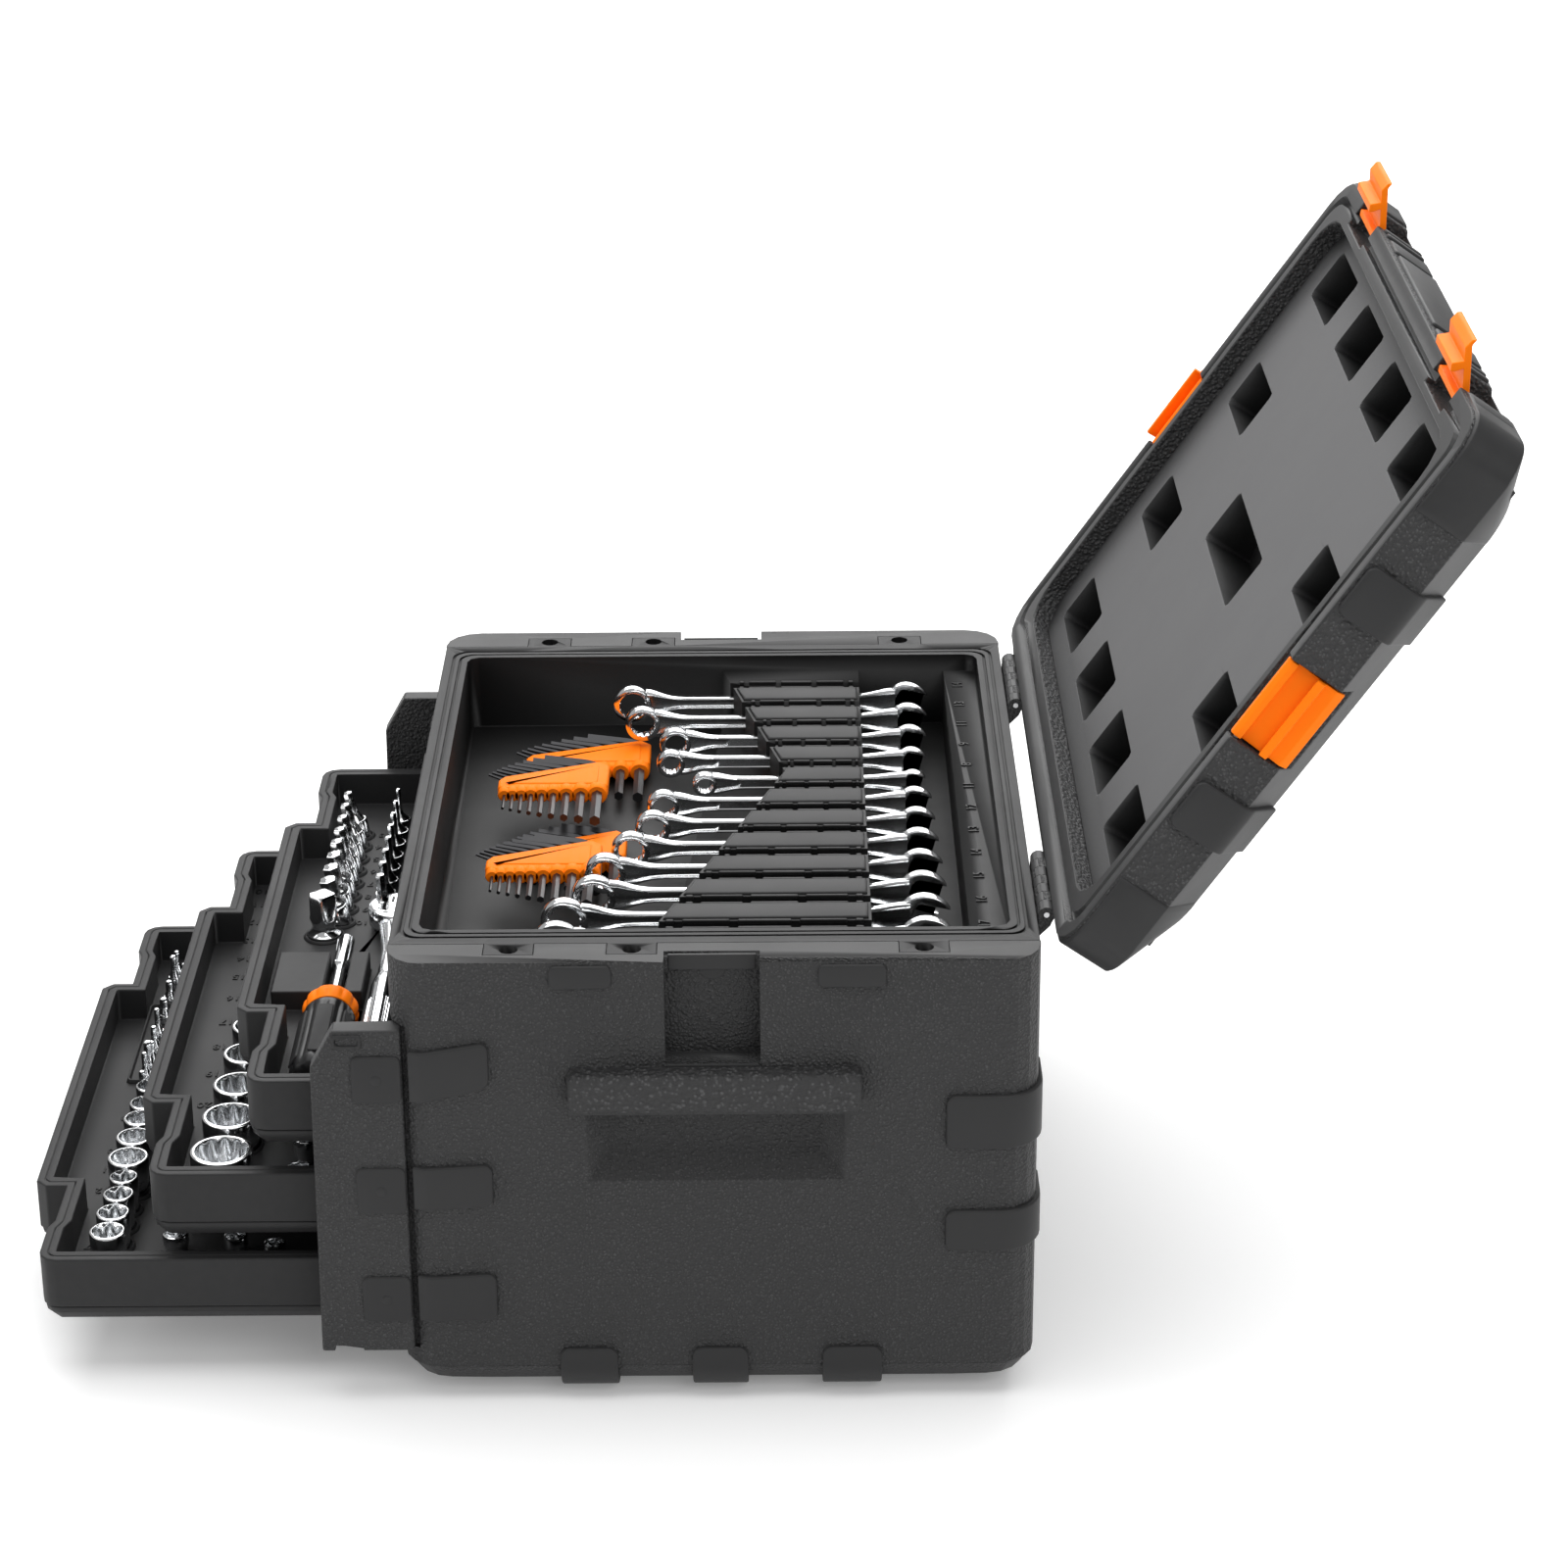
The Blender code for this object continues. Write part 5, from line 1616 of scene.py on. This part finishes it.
@dataclass
class Lid:
    """Lid in its own closed frame, turned open about the hinge: shell, liner, straps, blocks."""

    length: float = 341.0
    back: float = -4.8
    half_x: float = 229.0
    straight: float = 31.0
    bands: tuple = ((89.0, 118.0), (226.0, 256.0))
    cap_reach: float = 52.0
    cap_proud: float = 1.3
    radius: float = 22.0
    pockets: tuple = (
        tuple((x, s, 61.0, 28.0) for s in (50.0, 292.5) for x in (-154.0, -51.5, 51.5, 154.0))
        + tuple((x, s, 61.0, 28.0) for s in (128.0, 213.0) for x in (-154.0, 154.0))
        + ((0.0, 170.0, 106.0, 30.0),)
    )
    liner_level: float = 12.3
    place: Place = field(init=False)

    def __post_init__(self) -> None:
        """The hinge axis is the middle of the hinge pin's box."""
        low, high = span("lid_hinge_pin_right")
        middle = (low + high) / 2
        c, s = math.cos(LID_TURN), math.sin(LID_TURN)
        self.place = Place((0, middle[1], middle[2]), (1, 0, 0), (0, c, s), (0, -s, c))

    def side_track(self) -> Track:
        """Line up the closed lid's right wall and over its shoulder."""
        drawn_in = np.array([(0, 1.5), (0, 28.0), (1.2, 32.0), (27.0, 50.2)])
        plan = drawn_in * [-1, 1] + [self.half_x, 0]
        steps = np.diff(plan, axis=0)
        steps = np.vstack([steps[:1], (steps[:-1] + steps[1:]) / 2, steps[-1:]])
        steps /= np.linalg.norm(steps, axis=1, keepdims=True)
        nought = np.zeros(len(plan))
        return Track(np.column_stack([plan[:, 0], nought, plan[:, 1]]),
                     np.column_stack([steps[:, 1], nought, -steps[:, 0]]))

    def side_bands(self) -> list[Shell]:
        """Straps over the right shoulder."""
        track = self.side_track()
        made = []
        for start, end in self.bands:
            low, high = flat(self.back - end), flat(self.back - start)
            made.append(strap(track, (0, 1, 0), low, high, height=2.6, edge=1.1))
        return [part.placed(self.place) for part in made]

    def caps(self) -> list[Shell]:
        """Smooth skins round the two right corners.

        They follow level outlines of one corner radius, each drawn in by the shoulder's slope.
        """
        half_y = self.length / 2
        rise = [(1.2, 0, -0.6), (1.6, 0, 0.5), (2.4, 0, 1), (self.straight - 1, 0, 1), (self.straight, 0.7, 1),
                (50.0, 27.2, 1), (51.0, 28.6, 0.5), (51.2, 29.0, -0.6)]
        edge = [(0.0, 0.0), (0.4, 0.5), (1.2, 0.9), (4.0, 1.0)]
        stations = [("side", along, fade) for along, fade in edge]
        stations += [("bend", turn, 1.0) for turn in np.linspace(0, math.pi / 2, 12)]
        stations += [("end", along, fade) for along, fade in edge[::-1]]

        def point(kind: str, at: float, z: float, inward: float) -> tuple[float, float, float]:
            """Point of the level that lies inward of the wall, at a distance or an angle along it."""
            x, y = self.half_x - inward, half_y - inward
            if kind == "bend":
                return x - self.radius * (1 - math.cos(at)), y - self.radius * (1 - math.sin(at)), z
            if kind == "side":
                return x, half_y - self.cap_reach + at, z
            return self.half_x - self.cap_reach + at, y, z

        rings = []
        for kind, at, fade in stations:
            outer = [point(kind, at, z, inward - self.cap_proud * proud * fade) for z, inward, proud in rise]
            inner = [point(kind, at, z, inward + 1.2) for z, inward, _ in rise]
            rings.append(outer + inner[::-1])
        cap = loft(np.array(rings, float))
        middle = upright(0, self.back - half_y, 0)
        return [part.placed(middle).placed(self.place) for part in (cap, cap.mirrored(1))]

    def front_ribs(self) -> list[Shell]:
        """Ribs on the lid's front wall, between and beside the latches."""
        front = self.back - self.length + 0.6
        made = []
        plates = [((-63.0, 63.0), 2.4), ((-94.0, -70.0), 2.0), ((70.0, 94.0), 2.0)]
        plates += [((x - 3, x + 3), 2.2) for x in (-113.5, -104.5, 104.5, 113.5)]
        plates += [((x - 8, x + 8), 2.0) for x in (-184.0, 184.0)]
        for (left, right), proud in plates:
            plate = slab(((right - left) / 2, 13.0, proud), 2.0, 0.9)
            middle = ((left + right) / 2, front, 16.0)
            made.append(plate.placed(Place(middle, (1, 0, 0), (0, 0, 1), (0, -1, 0))))
        return [part.placed(self.place) for part in made]

    def rim_grooves(self) -> list[Shell]:
        """Cutter for the seal groove round the rim."""
        centre = np.array([0, self.back - self.length / 2, 0])
        rows = []
        for cut, height in ((9.0, -2.0), (9.0, 4.5), (13.5, 4.5), (13.5, -2.0)):
            plan = rounded_rect(self.half_x - cut, self.length / 2 - cut, 14.0)
            rows.append(np.column_stack([plan, np.full(24, height)]) + centre)
        return [loft(np.stack(rows), closed=True).placed(self.place)]

    def liner(self) -> Shell:
        """Moulded liner sheet, seen from -z in the lid's frame; its pockets sink with a smooth step."""
        half_x, half_y = self.half_x - 21.4, self.length / 2 - 21.4
        offsets = np.array([-3.5, -2.2, -1.4, -0.8, -0.3, 0.2, 0.7, 1.4])
        middle = self.length / 2
        lines_x, lines_y = [np.linspace(-half_x, half_x, 40)], [np.linspace(-half_y, half_y, 34)]
        for x, s, wide, deep in self.pockets:
            lines_x += [x - wide / 2 + offsets[::-1] * -1, x + wide / 2 + offsets]
            y = s - middle
            lines_y += [y - deep / 2 + offsets[::-1] * -1, y + deep / 2 + offsets]
        spots = [(x, s - middle, wide, deep) for x, s, wide, deep in self.pockets]

        def height(x: Array, y: Array) -> Array:
            """Height of the sheet: a raised field, less the deepest pocket there."""
            sheet = 1.6 * ramp(box_distance(x, y, (0, 0), (half_x - 5, half_y - 5), 14.0), 4.0) - 1.6
            sink = np.zeros_like(x)
            for px, py, wide, deep in spots:
                inside = box_distance(x, y, (px, py), (wide / 2, deep / 2), 2.5)
                shallow = 1 - 0.5 * np.clip((y - py + deep / 2) / deep, 0, 1)
                sink = np.maximum(sink, ramp(inside, 2.6) * 29.0 * (0.55 + 0.45 * shallow))
            for px in (-115.0, 115.0):
                slot = box_distance(x, y, (px, 253.5 - middle), (3.5, 1.0), 0.8)
                sink = np.maximum(sink, 3.0 * ramp(slot, 1.0))
            return -sheet - sink

        grid_x, grid_y = (np.unique(np.round(np.concatenate(lines), 2)) for lines in (lines_x, lines_y))
        made = relief(grid_x, grid_y, height, -31.5)
        flipped = Place((0, self.back - middle, self.liner_level), (1, 0, 0), (0, -1, 0), (0, 0, -1))
        return made.placed(flipped).placed(self.place)

    def build(self) -> None:
        """The lid's shell, liner, bands, ribs and pins."""
        softened("lid_shell", LID_GRAINED, 1.0, grooves=self.rim_grooves())
        make_piece("lid_liner_sheet", [self.liner()], LINER, "lid", ["lid_liner"])
        for word, sign in SIDES:
            make_piece(f"lid_straps_{word}", sided(self.side_bands() + self.caps(), sign), LID_SMOOTH, "lid")
            for node in (f"lid_hinge_pin_{word}", f"latch_pin_front_{word}", f"latch_pin_side_{word}"):
                carried(node, STEEL)
        make_piece("lid_front_ribs", self.front_ribs(), LID_SMOOTH, "lid")
        for where in ("front_left", "front_right", "side_left", "side_right"):
            softened(f"latch_{where}", ORANGE, 0.5, 1.5)


# ---------------------------------------------------------------- stage, camera and order of work


@dataclass
class Stage:
    """White floor, soft boxes above and behind, and the camera."""

    camera_at: tuple = (2.0492, 0.0347, 1.1542)
    yaw: float = -0.054
    pitch: float = 23.63
    roll: float = -0.373
    lens: float = 91.75

    def floor(self) -> None:
        """A very wide pale floor."""
        mesh = bpy.data.meshes.new("studio_floor")
        reach = 30.0
        mesh.from_pydata([(-reach, -reach, 0), (reach, -reach, 0), (reach, reach, 0), (-reach, reach, 0)], [],
                         [(0, 1, 2, 3)])
        paper = bpy.data.materials.new("studio_paper")
        paper.use_nodes = True
        shader = paper.node_tree.nodes["Principled BSDF"]
        shader.inputs["Base Color"].default_value = (0.95, 0.95, 0.95, 1)
        shader.inputs["Emission Color"].default_value = (1, 1, 1, 1)
        shader.inputs["Emission Strength"].default_value = 0.16
        shader.inputs["Roughness"].default_value = 0.9
        mesh.materials.append(paper)
        floor = bpy.data.objects.new("studio_floor", mesh)
        bpy.context.scene.collection.objects.link(floor)

    def lamp(self, name: str, at: Sequence[float], aim: Sequence[float], size: Sequence[float],
             power: float) -> None:
        """One rectangular soft box aimed at a point."""
        light = bpy.data.lights.new(name, "AREA")
        light.shape, light.size, light.size_y, light.energy = "RECTANGLE", *size, power
        holder = bpy.data.objects.new(name, light)
        holder.location = at
        holder.rotation_euler = (Vector(aim) - Vector(at)).to_track_quat("-Z", "Y").to_euler()
        bpy.context.scene.collection.objects.link(holder)

    def lights(self) -> None:
        """Overhead box, back box, two weak side boxes, and an even surround."""
        self.lamp("overhead_box", (-0.3, 0, 2.4), (0, 0, 0), (3.2, 3.2), 72.0)
        self.lamp("back_box", (-3.2, 0.3, 2.0), (0, 0, 0.2), (3.5, 2.2), 80.0)
        self.lamp("left_box", (0.6, -3.0, 1.6), (0, -0.2, 0.1), (1.2, 2.0), 16.0)
        self.lamp("key_box", (3.0, 1.6, 2.6), (0, 0, 0.2), (2.4, 2.0), 34.0)
        world = bpy.data.worlds.new("studio_surround")
        world.use_nodes = True
        back = world.node_tree.nodes["Background"]
        back.inputs["Color"].default_value = (1, 1, 1, 1)
        back.inputs["Strength"].default_value = 0.4
        bpy.context.scene.world = world
        bpy.context.scene.view_settings.view_transform = "Standard"

    def camera(self) -> None:
        """Camera from yaw, pitch and roll: it looks along -X, a little down."""
        yaw, pitch, roll = (math.radians(value) for value in (self.yaw, self.pitch, self.roll))
        level = math.cos(pitch)
        forward = Vector((-level * math.cos(yaw), -level * math.sin(yaw), -math.sin(pitch)))
        right = forward.cross(Vector((0, 0, 1))).normalized()
        up = right.cross(forward)
        side = math.cos(roll) * right + math.sin(roll) * up
        top = -math.sin(roll) * right + math.cos(roll) * up
        data = bpy.data.cameras.new("studio_camera")
        data.lens, data.sensor_width, data.clip_end = self.lens, 36.0, 60.0
        camera = bpy.data.objects.new("studio_camera", data)
        turn = Matrix((side, top, -forward)).transposed().to_4x4()
        camera.matrix_world = Matrix.Translation(self.camera_at) @ turn
        bpy.context.scene.collection.objects.link(camera)
        bpy.context.scene.camera = camera

    def build(self) -> None:
        """Floor, lights and camera."""
        self.floor()
        self.lights()
        self.camera()


def main() -> None:
    """Build the set in order: stage, case, flaps, tray, tools, drawers and lid."""
    logging.basicConfig(level=logging.INFO, format="%(message)s")
    Stage().build()
    CaseBody().build()
    CornerFlaps().build()
    TopTray().build()
    for number, size in enumerate(WRENCH_SIZES, 1):
        Wrench(number, size).build()
    for number in (1, 2, 3, 4):
        KeyHolder(number).build()
    TopDrawer().build()
    MiddleDrawer().build()
    BottomDrawer().build()
    Lid().build()


if __name__ == "__main__":
    main()
